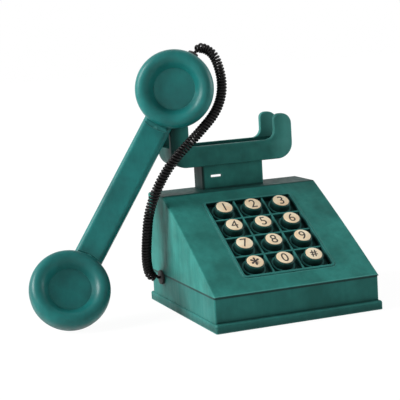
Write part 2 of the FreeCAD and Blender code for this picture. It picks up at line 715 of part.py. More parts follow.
def make_main_board():
    """Speech circuit board on the tray's posts."""
    spans = (across(MAIN_BOARD_WIDTH), (MAIN_BOARD_FRONT_Y, MAIN_BOARD_BACK_Y))
    return box(spans[0], spans[1], (MAIN_BOARD_Z, MAIN_BOARD_Z + BOARD_THICKNESS))


def make_line_transformer():
    """Laminated core with its winding, on the main board."""
    top = MAIN_BOARD_Z + BOARD_THICKNESS
    middle = Vector(TRANSFORMER_X, TRANSFORMER_Y, top)
    corner = Vector(TRANSFORMER_CORE / 2, TRANSFORMER_CORE * 0.39, 0)
    core = Part.makeBox(TRANSFORMER_CORE, TRANSFORMER_CORE * 0.78, TRANSFORMER_HEIGHT, middle - corner)
    corner = Vector(TRANSFORMER_CORE * 0.28, TRANSFORMER_CORE / 2, 0)
    winding = Part.makeBox(TRANSFORMER_CORE * 0.56, TRANSFORMER_CORE, TRANSFORMER_HEIGHT - 2, middle - corner)
    return joined(core, winding)


def make_line_jack():
    """Modular socket in the back wall."""
    back = BAND_DEPTH / 2
    middle_z = JACK_BOTTOM_Z + JACK_HEIGHT / 2
    body = box(
        (JACK_X - JACK_WIDTH / 2, JACK_X + JACK_WIDTH / 2),
        (back - JACK_DEPTH, back),
        (JACK_BOTTOM_Z, JACK_BOTTOM_Z + JACK_HEIGHT),
    )
    socket = box(
        (JACK_X - SOCKET_WIDTH / 2, JACK_X + SOCKET_WIDTH / 2),
        (back - SOCKET_DEPTH, back + 1),
        (middle_z - SOCKET_HEIGHT / 2, middle_z + SOCKET_HEIGHT / 2),
    )
    return body.cut(socket)


def make_cord_grommet():
    """Rubber bush in the left wall, with a face for the cord."""
    face = CORD_BASE
    collar = rod(GROMMET_FLANGE_RADIUS, face, face + X_AXIS * GROMMET_FLANGE)
    neck = rod(GROMMET_RADIUS - 0.1, face, face + X_AXIS * (GROMMET_FLANGE + 2 * WALL))
    return joined(collar, neck)


def cap_axes(side):
    """The placement of one cap: its own z out of its face, tilted towards the other cap."""
    tilt = math.radians(CAP_TILT)
    face_way = Vector(-side * math.sin(tilt), 0, math.cos(tilt))
    across_way = Y_AXIS
    along_way = across_way.cross(face_way)
    local = frame_of(along_way, across_way, face_way, Vector(side * DISC_SPACING / 2, 0, 0))
    return ON_HANDSET.multiply(local)


def make_cap(side):
    """Screw-on ring: rounded rim, concave bowl and a ledge for the centre disc."""
    rim_round = CAP_RADIUS - CAP_CREST_RADIUS
    shoulder = CAP_CREST_HEIGHT - rim_round
    bulge = rim_round * math.sqrt(0.5)
    section = outline(
        Vector(CAP_SKIRT_INNER, 0, CAP_BACK),
        (Vector(CAP_RADIUS - 0.8, 0, CAP_BACK),),
        (Vector(CAP_RADIUS, 0, CAP_BACK + 0.8),),
        (Vector(CAP_RADIUS, 0, shoulder),),
        (
            Vector(CAP_CREST_RADIUS + bulge, 0, shoulder + bulge),
            Vector(CAP_CREST_RADIUS, 0, CAP_CREST_HEIGHT),
        ),
        (
            Vector(BOWL_MID_RADIUS, 0, BOWL_MID_HEIGHT),
            Vector(DISC_RADIUS + 0.1, 0, DISC_EDGE_HEIGHT),
        ),
        (Vector(DISC_RADIUS + 0.1, 0, DISC_TOP - DISC_THICKNESS),),
        (Vector(DISC_LEDGE, 0, DISC_TOP - DISC_THICKNESS),),
        (Vector(DISC_LEDGE, 0, SPIGOT_TOP + 0.4),),
        (Vector(CAP_SKIRT_INNER, 0, SPIGOT_TOP + 0.4),),
    )
    return placed(turned(section), cap_axes(side))


def make_disc(side):
    """Flat disc in the middle of a cap."""
    low = Vector(0, 0, DISC_TOP - DISC_THICKNESS)
    return placed(rod(DISC_RADIUS, low, Vector(0, 0, DISC_TOP)), cap_axes(side))


def make_capsule(side):
    """Sound capsule, resting on the cup's floor."""
    low = Vector(0, 0, SPIGOT_TOP - CAPSULE_THICKNESS)
    body = rod(CAPSULE_RADIUS, low, Vector(0, 0, SPIGOT_TOP))
    return placed(body, cap_axes(side))


def cup_outline(grow):
    """The outside of a cup behind its cap, larger all round by a given amount."""
    cup_top = CAP_BACK - 0.1 + grow
    band_low = CAP_BACK - 0.1 - CUP_BAND
    return outline(
        Vector(0, 0, cup_top),
        (Vector(CUP_RADIUS + grow, 0, cup_top),),
        (Vector(CUP_RADIUS + grow, 0, band_low),),
        (
            Vector(CUP_RADIUS - 3.4 + grow, 0, band_low * 0.45 + CUP_BACK * 0.55 - grow),
            Vector(CUP_BACK_RADIUS, 0, CUP_BACK - grow),
        ),
        (Vector(0, 0, CUP_BACK - grow),),
    )


def wire_way():
    """The bore for the wires, through the bar and into both cups."""
    reach = Vector(DISC_SPACING / 2 - 6, 0, 0)
    depth = Vector(0, 0, HANDLE_FRONT - 4)
    return placed(rod(WIRE_WAY_RADIUS, depth - reach, depth + reach), ON_HANDSET)


def make_handle():
    """Bowed bar between the two cups, its ends shaped to their round backs."""
    reach = DISC_SPACING / 2 - HANDLE_OVERLAP
    edge = -HANDLE_WIDTH / 2
    bow = outline(
        Vector(-reach, edge, HANDLE_FRONT),
        (Vector(reach, edge, HANDLE_FRONT),),
        (Vector(reach, edge, HANDLE_END_BACK),),
        (Vector(0, edge, HANDLE_BACK), Vector(-reach, edge, HANDLE_END_BACK)),
    )
    bar = bow.extrude(Y_AXIS * HANDLE_WIDTH)
    long_edges = [e for e in bar.Edges if e.BoundBox.XLength > reach]
    bar = placed(bar.makeFillet(HANDLE_ROUND, long_edges), ON_HANDSET)
    for side in (-1, 1):
        axes = cap_axes(side)
        in_front = rod(CAP_RADIUS + 4, Vector(0, 0, CAP_BACK - 1), Vector(0, 0, 30))
        bar = bar.cut([placed(turned(cup_outline(CUP_SEAM)), axes), placed(in_front, axes)])
    return bar.cut(wire_way())


def make_cup(side):
    """Round cup on one end of the bar, with a spigot for the cap and a room for the capsule."""
    axes = cap_axes(side)
    spigot = rod(SPIGOT_RADIUS, Vector(0, 0, CAP_BACK - 2), Vector(0, 0, SPIGOT_TOP))
    room = rod(CAPSULE_RADIUS + 0.2, Vector(0, 0, SPIGOT_TOP - CAPSULE_THICKNESS), Vector(0, 0, 20))
    cup = placed(joined(turned(cup_outline(0.0)), spigot).cut(room), axes)
    start = Vector(DISC_SPACING / 2 + 15, 0, CORD_EXIT_BACK)
    bush = placed(rod(GROMMET_RADIUS, start, start + X_AXIS * 45), ON_HANDSET)
    return cup.cut([wire_way(), bush])


def make_handset_grommet():
    """Rubber bush at the mouthpiece end, with a face for the cord."""
    half = DISC_SPACING / 2
    end = Vector(half + CORD_EXIT_BEYOND_CENTRE, 0, CORD_EXIT_BACK)
    return placed(rod(GROMMET_RADIUS - 0.1, Vector(half + GROMMET_FROM_CENTRE, 0, CORD_EXIT_BACK), end), ON_HANDSET)


def cord_route():
    """The route's points from the handset to the base, chosen by hand between two square ends."""
    exit_local = Vector(DISC_SPACING / 2 + CORD_EXIT_BEYOND_CENTRE, 0, CORD_EXIT_BACK)
    start = ON_HANDSET.multVec(exit_local)
    return [
        start,
        start + HANDLE_WAY * 11.0,
        Vector(-8.6, 40.5, 214.0),
        Vector(-4.0, 34.5, 198.0),
        Vector(-7.4, 27.5, 177.5),
        Vector(-17.3, 22.0, 158.0),
        Vector(-38.3, 21.0, 139.0),
        Vector(-67.5, 21.5, 115.0),
        Vector(-82.6, 24.0, 84.0),
        Vector(-87.0, 31.0, 53.5),
        Vector(-87.5, 39.5, 36.0),
        CORD_BASE - X_AXIS * 10.5,
        CORD_BASE,
    ]


def sampled_route(points, step):
    """Places and tangents along straight runs joined by tangent arcs, as large as the runs allow."""
    runs = [points[i + 1] - points[i] for i in range(len(points) - 1)]
    ways = [Vector(run).normalize() for run in runs]
    places = [points[0]]
    tangents = [ways[0]]
    radii = []

    def straight_to(end, way):
        start = places[-1]
        count = max(1, int((end - start).Length / step))
        for index in range(1, count + 1):
            places.append(start + (end - start) * (index / count))
            tangents.append(way)

    for index in range(1, len(points) - 1):
        before = ways[index - 1]
        after = ways[index]
        turn = before.getAngle(after)
        setback = 0.45 * min(runs[index - 1].Length, runs[index].Length)
        radius = setback / math.tan(turn / 2)
        radii.append(radius)
        straight_to(points[index] - before * setback, before)
        inward = (after - before).normalize()
        centre = points[index] + inward * (radius / math.cos(turn / 2))
        spoke = (places[-1] - centre).normalize()
        count = max(2, int(radius * turn / step))
        for part in range(1, count + 1):
            angle = turn * part / count
            places.append(centre + (spoke * math.cos(angle) + before * math.sin(angle)) * radius)
            tangents.append(before * math.cos(angle) - spoke * math.sin(angle))
    straight_to(points[-1], ways[-1])
    print("cord arc radii:", " ".join("%.1f" % radius for radius in radii))
    return places, tangents


class CurledWire:
    """A wire that winds round a route, straight along it at both ends."""

    def __init__(self, points):
        self.places, self.tangents = sampled_route(points, 0.2)
        self.lengths = [0.0]
        self.normals = [self.tangents[0].cross(Z_AXIS).normalize()]
        for index in range(1, len(self.places)):
            hop = (self.places[index] - self.places[index - 1]).Length
            self.lengths.append(self.lengths[-1] + hop)
            tangent = self.tangents[index]
            carried = self.normals[-1] - tangent * self.normals[-1].dot(tangent)
            self.normals.append(carried.normalize())
        self.radius = (CORD_OUTER_DIAMETER - CORD_WIRE_DIAMETER) / 2
        self.wound_from = CORD_WIRE_DIAMETER
        self.wound_to = self.lengths[-1] - CORD_WIRE_DIAMETER
        full = self.wound_to - self.wound_from - 2 * CORD_RAMP
        self.rate = 2 * math.pi * CORD_CURLS / (full + CORD_RAMP)

    def angle(self, along):
        """How far the wire has turned, speeding up over one ramp and slowing over the other."""
        begin = self.wound_from + CORD_RAMP
        end = self.wound_to - CORD_RAMP
        if along < begin:
            return self.rate * (along - self.wound_from) ** 2 / (2 * CORD_RAMP)
        steady = self.rate * (CORD_RAMP / 2 + min(along, end) - begin)
        if along <= end:
            return steady
        left = self.wound_to - along
        return steady + self.rate * (CORD_RAMP ** 2 - left ** 2) / (2 * CORD_RAMP)

    def reach(self, along):
        """How far the wire stands off its route."""
        near_end = min(along - self.wound_from, self.wound_to - along)
        share = max(0.0, min(1.0, near_end / CORD_RAMP))
        return self.radius * share * share * (3 - 2 * share)

    def place(self, along):
        """The wire's centre at a length along the route."""
        low, high = 0, len(self.lengths) - 1
        while high - low > 1:
            middle = (low + high) // 2
            if self.lengths[middle] <= along:
                low = middle
            else:
                high = middle
        share = (along - self.lengths[low]) / (self.lengths[high] - self.lengths[low])
        centre = self.places[low] + (self.places[high] - self.places[low]) * share
        tangent = (self.tangents[low] + (self.tangents[high] - self.tangents[low]) * share).normalize()
        normal = self.normals[low] + (self.normals[high] - self.normals[low]) * share
        normal = (normal - tangent * normal.dot(tangent)).normalize()
        binormal = tangent.cross(normal)
        turn = self.angle(along)
        return centre + (normal * math.cos(turn) + binormal * math.sin(turn)) * self.reach(along)

    def tangent(self, along):
        """The wire's own direction."""
        nudge = 0.002
        return (self.place(along + nudge) - self.place(along - nudge)).normalize()

    def knots(self):
        """Lengths along the route where one biarc ends and the next begins."""
        steps = 8
        ramp = [CORD_RAMP * index / steps for index in range(steps + 1)]
        first = [self.wound_from + length for length in ramp]
        last = [self.wound_to - length for length in reversed(ramp)]
        halves = round(self.rate * (last[0] - first[-1]) / HALF_TURN)
        span = (last[0] - first[-1]) / halves
        middle = [first[-1] + span * index for index in range(1, halves)]
        return first + middle + last

    def edges(self):
        """Straight ends, with pairs of tangent arcs between the knots."""
        knots = self.knots()
        spots = [self.place(along) for along in knots]
        ways = [self.tangents[0]]
        ways += [self.tangent(along) for along in knots[1:-1]]
        ways.append(self.tangents[-1])
        edges = [Part.LineSegment(self.places[0], spots[0]).toShape()]
        for index in range(len(spots) - 1):
            edges += biarc(spots[index], ways[index], spots[index + 1], ways[index + 1])
        edges.append(Part.LineSegment(spots[-1], self.places[-1]).toShape())
        return edges


def bulge_of(start, way, end):
    """The middle of the arc that leaves a point in a direction and ends at another point."""
    chord = end - start
    half_angle = way.getAngle(chord)
    across_way = (way - Vector(chord).normalize() * math.cos(half_angle)).normalize()
    return (start + end) * 0.5 + across_way * (chord.Length / 2 * math.tan(half_angle / 2))


def biarc(start, start_way, end, end_way):
    """Two arcs, tangent to each other and to a direction at each end."""
    chord = end - start
    both = start_way + end_way
    spread = 2 * (1 - start_way.dot(end_way))
    lean = chord.dot(both)
    reach = (math.sqrt(lean * lean + spread * chord.dot(chord)) - lean) / spread
    middle = (start + start_way * reach + end - end_way * reach) * 0.5
    return [
        Part.Arc(start, bulge_of(start, start_way, middle), middle).toShape(),
        Part.Arc(middle, bulge_of(end, end_way * -1, middle), end).toShape(),
    ]


def least_gap(edges):
    """The least room between two stretches of the wire that aren't neighbours."""
    spots = []
    for edge in edges:
        count = max(2, int(edge.Length / 0.5))
        spots += edge.discretize(Number=count + 1)[:-1]
    lengths = [0.0]
    for index in range(1, len(spots)):
        lengths.append(lengths[-1] + (spots[index] - spots[index - 1]).Length)
    least = 1e9
    apart = 4 * CORD_WIRE_DIAMETER
    window = 150
    for index, spot in enumerate(spots):
        for other in range(index + 1, min(index + window, len(spots))):
            if lengths[other] - lengths[index] > apart:
                least = min(least, (spots[other] - spot).Length)
    return least - CORD_WIRE_DIAMETER


def make_cord():
    """The curly cord as one unbroken tube of polygonal section."""
    wire = CurledWire(cord_route())
    edges = wire.edges()
    spine = Part.Wire(edges)
    way = wire.tangents[0]
    start = wire.places[0]
    side = wire.normals[0]
    other = way.cross(side)
    corners = []
    for index in range(CORD_WIRE_SIDES + 1):
        angle = 2 * math.pi * index / CORD_WIRE_SIDES
        spoke = side * math.cos(angle) + other * math.sin(angle)
        corners.append(start + spoke * (CORD_WIRE_DIAMETER / 2))
    section = Part.makePolygon(corners)
    tube = spine.makePipeShell([section], True, False)
    length = sum(edge.Length for edge in edges)
    area = Part.Face(section).Area
    print("cord: %d curls, wire %.0f mm, route %.0f mm" % (CORD_CURLS, length, wire.lengths[-1]))
    print("cord: least gap to itself %.2f mm" % least_gap(edges))
    print("cord: volume over section times length %.3f" % (tube.Volume / (area * length)))
    return tube


export("base_tray", make_tray())
export("base_pad", rounded_plate(across(PAD_WIDTH), across(PAD_DEPTH), (0, PAD_THICKNESS), PAD_ROUND))
export("housing", make_housing())
export("housing_screws", make_housing_screws())
export("keypad_frame", make_keypad_frame())
export("dome_mat", make_dome_mat())
export("keypad_board", make_keypad_board())
for key_name, key_x, key_s in key_centres():
    export("key_" + key_name, make_key(key_x, key_s))
    export("key_%s_face" % key_name, make_key_face(key_x, key_s))
export("cradle_neck", make_neck())
export("hook_switch", make_hook_switch())
export("hook_spring", make_hook_spring())
export("cradle", make_cradle())
export("cradle_stem", make_stem())
export("stem_clip", make_stem_clip())
export("ringer_frame", make_ringer_frame())
export("ringer_coils", make_ringer_coils())
export("gong_left", make_gong(-GONG_X))
export("gong_right", make_gong(GONG_X))
export("gong_screws", make_gong_screws())
export("clapper", make_clapper())
export("main_board", make_main_board())
export("line_transformer", make_line_transformer())
export("line_jack", make_line_jack())
export("cord_grommet", make_cord_grommet())
export("handset_handle", make_handle())
for side, name in ((-1, "earpiece"), (1, "mouthpiece")):
    export(name + "_cup", make_cup(side))
    export(name + "_cap", make_cap(side))
    export(name + "_disc", make_disc(side))
export("receiver_capsule", make_capsule(-1))
export("transmitter_capsule", make_capsule(1))
export("handset_grommet", make_handset_grommet())
export("curly_cord", make_cord())
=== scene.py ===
"""Looks of a push-button desk telephone: painted resin shells, printed keys and a curly cord."""

import json
import logging
import math
from dataclasses import dataclass, field, replace
from enum import Enum

import bmesh
import bpy
from mathutils import Matrix, Vector

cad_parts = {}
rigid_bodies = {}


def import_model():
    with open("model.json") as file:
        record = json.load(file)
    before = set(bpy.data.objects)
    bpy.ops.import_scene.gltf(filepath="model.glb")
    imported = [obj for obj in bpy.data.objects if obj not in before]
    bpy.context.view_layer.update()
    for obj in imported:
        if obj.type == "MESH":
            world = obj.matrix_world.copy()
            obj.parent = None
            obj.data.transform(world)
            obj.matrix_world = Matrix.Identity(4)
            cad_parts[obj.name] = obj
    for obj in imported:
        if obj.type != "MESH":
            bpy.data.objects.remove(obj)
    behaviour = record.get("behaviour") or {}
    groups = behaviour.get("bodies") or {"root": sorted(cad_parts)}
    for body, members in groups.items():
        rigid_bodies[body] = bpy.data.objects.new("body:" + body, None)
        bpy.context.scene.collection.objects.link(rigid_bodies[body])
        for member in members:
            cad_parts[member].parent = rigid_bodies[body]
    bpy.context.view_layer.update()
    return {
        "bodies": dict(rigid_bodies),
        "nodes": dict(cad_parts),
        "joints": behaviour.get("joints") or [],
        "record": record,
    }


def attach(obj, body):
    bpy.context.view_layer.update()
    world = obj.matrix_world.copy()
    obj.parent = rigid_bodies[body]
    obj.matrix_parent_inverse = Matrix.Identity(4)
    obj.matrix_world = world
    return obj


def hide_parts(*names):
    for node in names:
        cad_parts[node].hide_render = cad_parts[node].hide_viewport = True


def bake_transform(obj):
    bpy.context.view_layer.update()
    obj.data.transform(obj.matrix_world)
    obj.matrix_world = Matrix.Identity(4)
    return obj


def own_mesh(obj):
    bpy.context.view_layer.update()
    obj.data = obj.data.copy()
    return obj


MM = 0.001
# Points closer than this are one point
TOUCH = 0.01 * MM
# Steps that round a wire's section
WIRE_STEPS = 3
# Dark green-black of the glaze in hollows; it also paints shade in hollows and painted shadow lines
GLAZE_AND_SHADE_TONE = "#071C1B"
# Pale teal of worn edges; it also paints edge highlights and the painted light on the cradle's right end
WEAR_AND_HIGHLIGHT_TONE = "#5FA7A1"
Point = tuple[float, float, float]
Profile = tuple[tuple[float, float], ...]
Ring = list[bmesh.types.BMVert]
log = logging.getLogger("telephone")


class Slot(Enum):
    """The record's material slots."""

    PAINT = "teal_paint"
    CREAM = "cream_plastic"
    RUBBER = "black_rubber"
    CORD = "cord_jacket"
    STEEL = "zinc_steel"
    BRASS = "bell_brass"
    BOARD = "board"
    BLACK = "black_plastic"


def linear(hex_colour: str) -> tuple[float, float, float, float]:
    """Turns an sRGB hex colour into linear light.

    Args:
        hex_colour: A colour such as "#2E706A".

    Returns:
        Red, green, blue and an alpha of 1.
    """
    levels = [int(hex_colour[i : i + 2], 16) / 255 for i in (1, 3, 5)]
    light = [v / 12.92 if v <= 0.04045 else ((v + 0.055) / 1.055) ** 2.4 for v in levels]
    return (light[0], light[1], light[2], 1.0)


def per_metre(size_mm: float) -> float:
    """The texture scale that gives features of a size in millimetres."""
    return 1.0 / (size_mm * MM)


def add_node(
    tree: bpy.types.NodeTree,
    kind: str,
    settings: dict | None = None,
    links: dict | None = None,
) -> bpy.types.Node:
    """Adds one shader node with its settings and links.

    Args:
        tree: The material's node tree.
        kind: The node's type name.
        settings: Values by attribute name, or by an input's name or number.
        links: Output sockets by the name or number of the input that they feed.

    Returns:
        The new node.
    """
    node = tree.nodes.new(kind)
    for name, value in (settings or {}).items():
        if isinstance(name, int) or name in node.inputs:
            node.inputs[name].default_value = value
        else:
            setattr(node, name, value)
    for name, output in (links or {}).items():
        tree.links.new(output, node.inputs[name])
    return node


def new_material(name: str) -> tuple[bpy.types.Material, bpy.types.NodeTree]:
    """Makes an empty node material.

    Args:
        name: The material's name.

    Returns:
        The material and its node tree.
    """
    material = bpy.data.materials.new(name)
    material.use_nodes = True
    material.node_tree.nodes.clear()
    return material, material.node_tree


def close_surface(tree: bpy.types.NodeTree, settings: dict, links: dict) -> None:
    """Ends a tree in one principled surface.

    Args:
        tree: The material's node tree.
        settings: Values that are the same all over the surface.
        links: Output sockets by input name.
    """
    surface = add_node(tree, "ShaderNodeBsdfPrincipled", settings, links)
    add_node(tree, "ShaderNodeOutputMaterial", None, {"Surface": surface.outputs["BSDF"]})


@dataclass(frozen=True)
class PaintedLightBand:
    """A band of painted light or shade, such as a painted shadow line: full in its core and fading to its
    half width.
    """

    axis: str
    place_mm: float
    half_mm: float
    share: float = 0.85
    tone: str = GLAZE_AND_SHADE_TONE
    core: float = 0.3


@dataclass(frozen=True)
class PaintedResin:
    """Cast resin, brush-painted and wiped by rubbing: dark glazing stays in the hollows and also paints
    the shade there, and the edges wear pale and also carry painted highlights.
    """

    name: str = "brush_painted_resin"
    coat: str = "#2A766F"
    coat_deep: str = "#1E5C56"
    # Glaze tone in the hollows, which also stands for the shade there
    glaze_and_shade: str = GLAZE_AND_SHADE_TONE
    # Tone of worn edges, which also stands for the highlights along them
    wear_and_highlight: str = WEAR_AND_HIGHLIGHT_TONE
    cloud_mm: float = 26.0
    stroke_mm: float = 4.8
    stroke_stretch: Point = (1.0, 1.0, 0.09)
    grit_mm: float = 2.8
    hollow_mm: float = 11.0
    edge_mm: float = 1.6
    ripple_height_mm: float = 0.9
    grit_height_mm: float = 0.25
    stroke_share: float = 0.45
    glaze_and_shade_share: float = 0.9
    wear_and_highlight_share: float = 0.75
    occlusion_rays: int = 8
    bands: tuple[PaintedLightBand, ...] = ()
    ior: float = 1.49
    gloss: float = 0.14
    roughness: float = 0.5
    smoother: float = 0.06
    rougher: float = 0.1

    def add_band(
        self,
        tree: bpy.types.NodeTree,
        band: PaintedLightBand,
        place: bpy.types.NodeSocket,
        colour: bpy.types.NodeSocket,
    ) -> bpy.types.Node:
        """Lays one band of painted light or shade over the paint.

        Args:
            tree: The material's node tree.
            band: The band.
            place: Where a point lies on the object.
            colour: The paint's colour so far.

        Returns:
            The node that mixes the band in.
        """
        spot = add_node(tree, "ShaderNodeSeparateXYZ", None, {0: place})
        past = add_node(
            tree,
            "ShaderNodeMath",
            {"operation": "SUBTRACT", 1: band.place_mm * MM},
            {0: spot.outputs[band.axis]},
        )
        away = add_node(tree, "ShaderNodeMath", {"operation": "ABSOLUTE"}, {0: past.outputs["Value"]})
        share = add_node(
            tree,
            "ShaderNodeMapRange",
            {
                "From Min": band.half_mm * MM,
                "From Max": band.core * band.half_mm * MM,
                "To Max": band.share,
            },
            {"Value": away.outputs["Value"]},
        )
        return add_node(
            tree,
            "ShaderNodeMix",
            {"data_type": "RGBA", 7: linear(band.tone)},
            {0: share.outputs["Result"], 6: colour},
        )

    def build(self) -> bpy.types.Material:
        """Builds the material.

        Returns:
            The node material.
        """
        material, tree = new_material(self.name)
        place = add_node(tree, "ShaderNodeTexCoord").outputs["Object"]
        clouds = add_node(
            tree,
            "ShaderNodeTexNoise",
            {"Scale": per_metre(self.cloud_mm), "Detail": 4.0, "Roughness": 0.6},
            {"Vector": place},
        )
        strokes_place = add_node(
            tree, "ShaderNodeMapping", {"Scale": self.stroke_stretch}, {"Vector": place}
        )
        strokes = add_node(
            tree,
            "ShaderNodeTexNoise",
            {"Scale": per_metre(self.stroke_mm), "Detail": 3.0, "Roughness": 0.65},
            {"Vector": strokes_place.outputs["Vector"]},
        )
        cloud_share = add_node(
            tree,
            "ShaderNodeMapRange",
            {"From Min": 0.36, "From Max": 0.66},
            {"Value": clouds.outputs["Fac"]},
        )
        coat = add_node(
            tree,
            "ShaderNodeMix",
            {"data_type": "RGBA", 6: linear(self.coat), 7: linear(self.coat_deep)},
            {0: cloud_share.outputs["Result"]},
        )
        stroke_share = add_node(
            tree,
            "ShaderNodeMapRange",
            {"From Min": 0.45, "From Max": 0.8, "To Max": self.stroke_share},
            {"Value": strokes.outputs["Fac"]},
        )
        brushed = add_node(
            tree,
            "ShaderNodeMix",
            {"data_type": "RGBA", 7: linear(self.coat_deep)},
            {0: stroke_share.outputs["Result"], 6: coat.outputs[2]},
        )
        # Occlusion darkens hollows with glaze: real glaze, and also painted shade where light can't reach
        hollow = add_node(
            tree,
            "ShaderNodeAmbientOcclusion",
            {"samples": self.occlusion_rays, "Distance": self.hollow_mm * MM},
        )
        glaze_and_shade_share = add_node(
            tree,
            "ShaderNodeMapRange",
            {"From Min": 0.9, "From Max": 0.3, "To Max": self.glaze_and_shade_share},
            {"Value": hollow.outputs["AO"]},
        )
        glazed_and_shaded = add_node(
            tree,
            "ShaderNodeMix",
            {"data_type": "RGBA", 7: linear(self.glaze_and_shade)},
            {0: glaze_and_shade_share.outputs["Result"], 6: brushed.outputs[2]},
        )
        # Inside occlusion finds convex edges and paints them pale: wear, and also painted highlights
        edge = add_node(
            tree,
            "ShaderNodeAmbientOcclusion",
            {
                "samples": self.occlusion_rays,
                "inside": True,
                "only_local": True,
                "Distance": self.edge_mm * MM,
            },
        )
        wear_and_highlight_edge = add_node(
            tree,
            "ShaderNodeMapRange",
            {"From Min": 0.92, "From Max": 0.5, "To Max": self.wear_and_highlight_share},
            {"Value": edge.outputs["AO"]},
        )
        wear_and_highlight_edge_share = add_node(
            tree,
            "ShaderNodeMath",
            {"operation": "MULTIPLY"},
            {0: wear_and_highlight_edge.outputs["Result"], 1: clouds.outputs["Fac"]},
        )
        colour = add_node(
            tree,
            "ShaderNodeMix",
            {"data_type": "RGBA", 7: linear(self.wear_and_highlight)},
            {0: wear_and_highlight_edge_share.outputs["Value"], 6: glazed_and_shaded.outputs[2]},
        )
        # Bands of painted shadow, shade and light go over the paint
        for band in self.bands:
            colour = self.add_band(tree, band, place, colour.outputs[2])
        sheen = add_node(
            tree,
            "ShaderNodeMapRange",
            {
                "From Min": 0.3,
                "From Max": 0.7,
                "To Min": self.roughness - self.smoother,
                "To Max": self.roughness + self.rougher,
            },
            {"Value": strokes.outputs["Fac"]},
        )
        grit = add_node(
            tree,
            "ShaderNodeTexNoise",
            {"Scale": per_metre(self.grit_mm), "Detail": 5.0, "Roughness": 0.7},
            {"Vector": place},
        )
        ripple = add_node(
            tree,
            "ShaderNodeBump",
            {"Strength": 0.35, "Distance": self.ripple_height_mm * MM},
            {"Height": clouds.outputs["Fac"]},
        )
        bump = add_node(
            tree,
            "ShaderNodeBump",
            {"Strength": 0.22, "Distance": self.grit_height_mm * MM},
            {"Height": grit.outputs["Fac"], "Normal": ripple.outputs["Normal"]},
        )
        close_surface(
            tree,
            {"IOR": self.ior, "Specular IOR Level": self.gloss},
            {
                "Base Color": colour.outputs[2],
                "Roughness": sheen.outputs["Result"],
                "Normal": bump.outputs["Normal"],
            },
        )
        return material


@dataclass(frozen=True)
class SpeckledFinish:
    """A moulded, plated or pressed surface: two close tones in patches over a fine grain."""

    name: str
    light_tone: str
    dark_tone: str
    patch_mm: float
    grain_mm: float
    roughness: float
    metallic: float = 0.0
    ior: float = 1.5
    gloss: float = 0.5
    grain_height_mm: float = 0.05
    smoother: float = 0.05
    rougher: float = 0.07

    def build(self) -> bpy.types.Material:
        """Builds the material.

        Returns:
            The node material.
        """
        material, tree = new_material(self.name)
        place = add_node(tree, "ShaderNodeTexCoord").outputs["Object"]
        patches = add_node(
            tree,
            "ShaderNodeTexNoise",
            {"Scale": per_metre(self.patch_mm), "Detail": 3.0},
            {"Vector": place},
        )
        grain = add_node(
            tree,
            "ShaderNodeTexNoise",
            {"Scale": per_metre(self.grain_mm), "Detail": 4.0},
            {"Vector": place},
        )
        share = add_node(
            tree,
            "ShaderNodeMapRange",
            {"From Min": 0.35, "From Max": 0.65},
            {"Value": patches.outputs["Fac"]},
        )
        colour = add_node(
            tree,
            "ShaderNodeMix",
            {"data_type": "RGBA", 6: linear(self.light_tone), 7: linear(self.dark_tone)},
            {0: share.outputs["Result"]},
        )
        sheen = add_node(
            tree,
            "ShaderNodeMapRange",
            {
                "From Min": 0.3,
                "From Max": 0.7,
                "To Min": self.roughness - self.smoother,
                "To Max": self.roughness + self.rougher,
            },
            {"Value": grain.outputs["Fac"]},
        )
        bump = add_node(
            tree,
            "ShaderNodeBump",
            {"Strength": 0.3, "Distance": self.grain_height_mm * MM},
            {"Height": grain.outputs["Fac"]},
        )
        settings = {"Metallic": self.metallic}
        if self.metallic == 0.0:
            settings["IOR"] = self.ior
            settings["Specular IOR Level"] = self.gloss
        close_surface(
            tree,
            settings,
            {
                "Base Color": colour.outputs[2],
                "Roughness": sheen.outputs["Result"],
                "Normal": bump.outputs["Normal"],
            },
        )
        return material


# Cast resin painted teal by brush: soft clouds and strokes, dark glaze in hollows that also paints their
# shade, and pale worn edges that also paint edge highlights
SHELL_PAINT = PaintedResin()
# A painted shadow line runs along the seam under the lip, on both the housing and the tray, and painted
# shade darkens the flat top
HOUSING_PAINT = replace(
    SHELL_PAINT,
    name="brush_painted_housing",
    coat="#2F7F77",
    coat_deep="#21645D",
    bands=(
        PaintedLightBand("Z", place_mm=27.1, half_mm=0.9),
        PaintedLightBand("Z", place_mm=91.8, half_mm=1.0, share=0.7),
    ),
)
# The tray carries the painted shadow line under the housing's lip
TRAY_PAINT = replace(
    SHELL_PAINT,
    name="brush_painted_tray",
    coat="#28706A",
    bands=(PaintedLightBand("Z", place_mm=26.5, half_mm=1.1),),
)
# The cradle has less glaze in its hollows; painted shadow of the handset darkens its left end, and painted
# light makes its right end pale
CRADLE_PAINT = replace(
    SHELL_PAINT,
    name="brush_painted_cradle",
    glaze_and_shade_share=0.45,
    bands=(
        PaintedLightBand("X", place_mm=-54.4, half_mm=10.0, share=0.75),
        PaintedLightBand("X", place_mm=54.4, half_mm=22.0, share=0.3, tone=WEAR_AND_HIGHLIGHT_TONE),
    ),
)
# The neck has less glaze in front; painted shadow of the handset darkens its left end, and painted shade
# runs round its foot
NECK_PAINT = replace(
    HOUSING_PAINT,
    name="brush_painted_neck",
    glaze_and_shade_share=0.4,
    bands=(
        PaintedLightBand("X", place_mm=-27.45, half_mm=2.4, share=0.95),
        PaintedLightBand("Z", place_mm=91.8, half_mm=1.6, share=0.6),
    ),
)
# The handset is bluer and glossier, because hands rub it, and carries less glaze and painted shade in its
# hollows
HANDSET_PAINT = replace(
    SHELL_PAINT,
    name="brush_painted_handset",
    coat="#166F6C",
    coat_deep="#105957",
    edge_mm=0.8,
    glaze_and_shade_share=0.3,
    gloss=0.25,
    roughness=0.4,
)
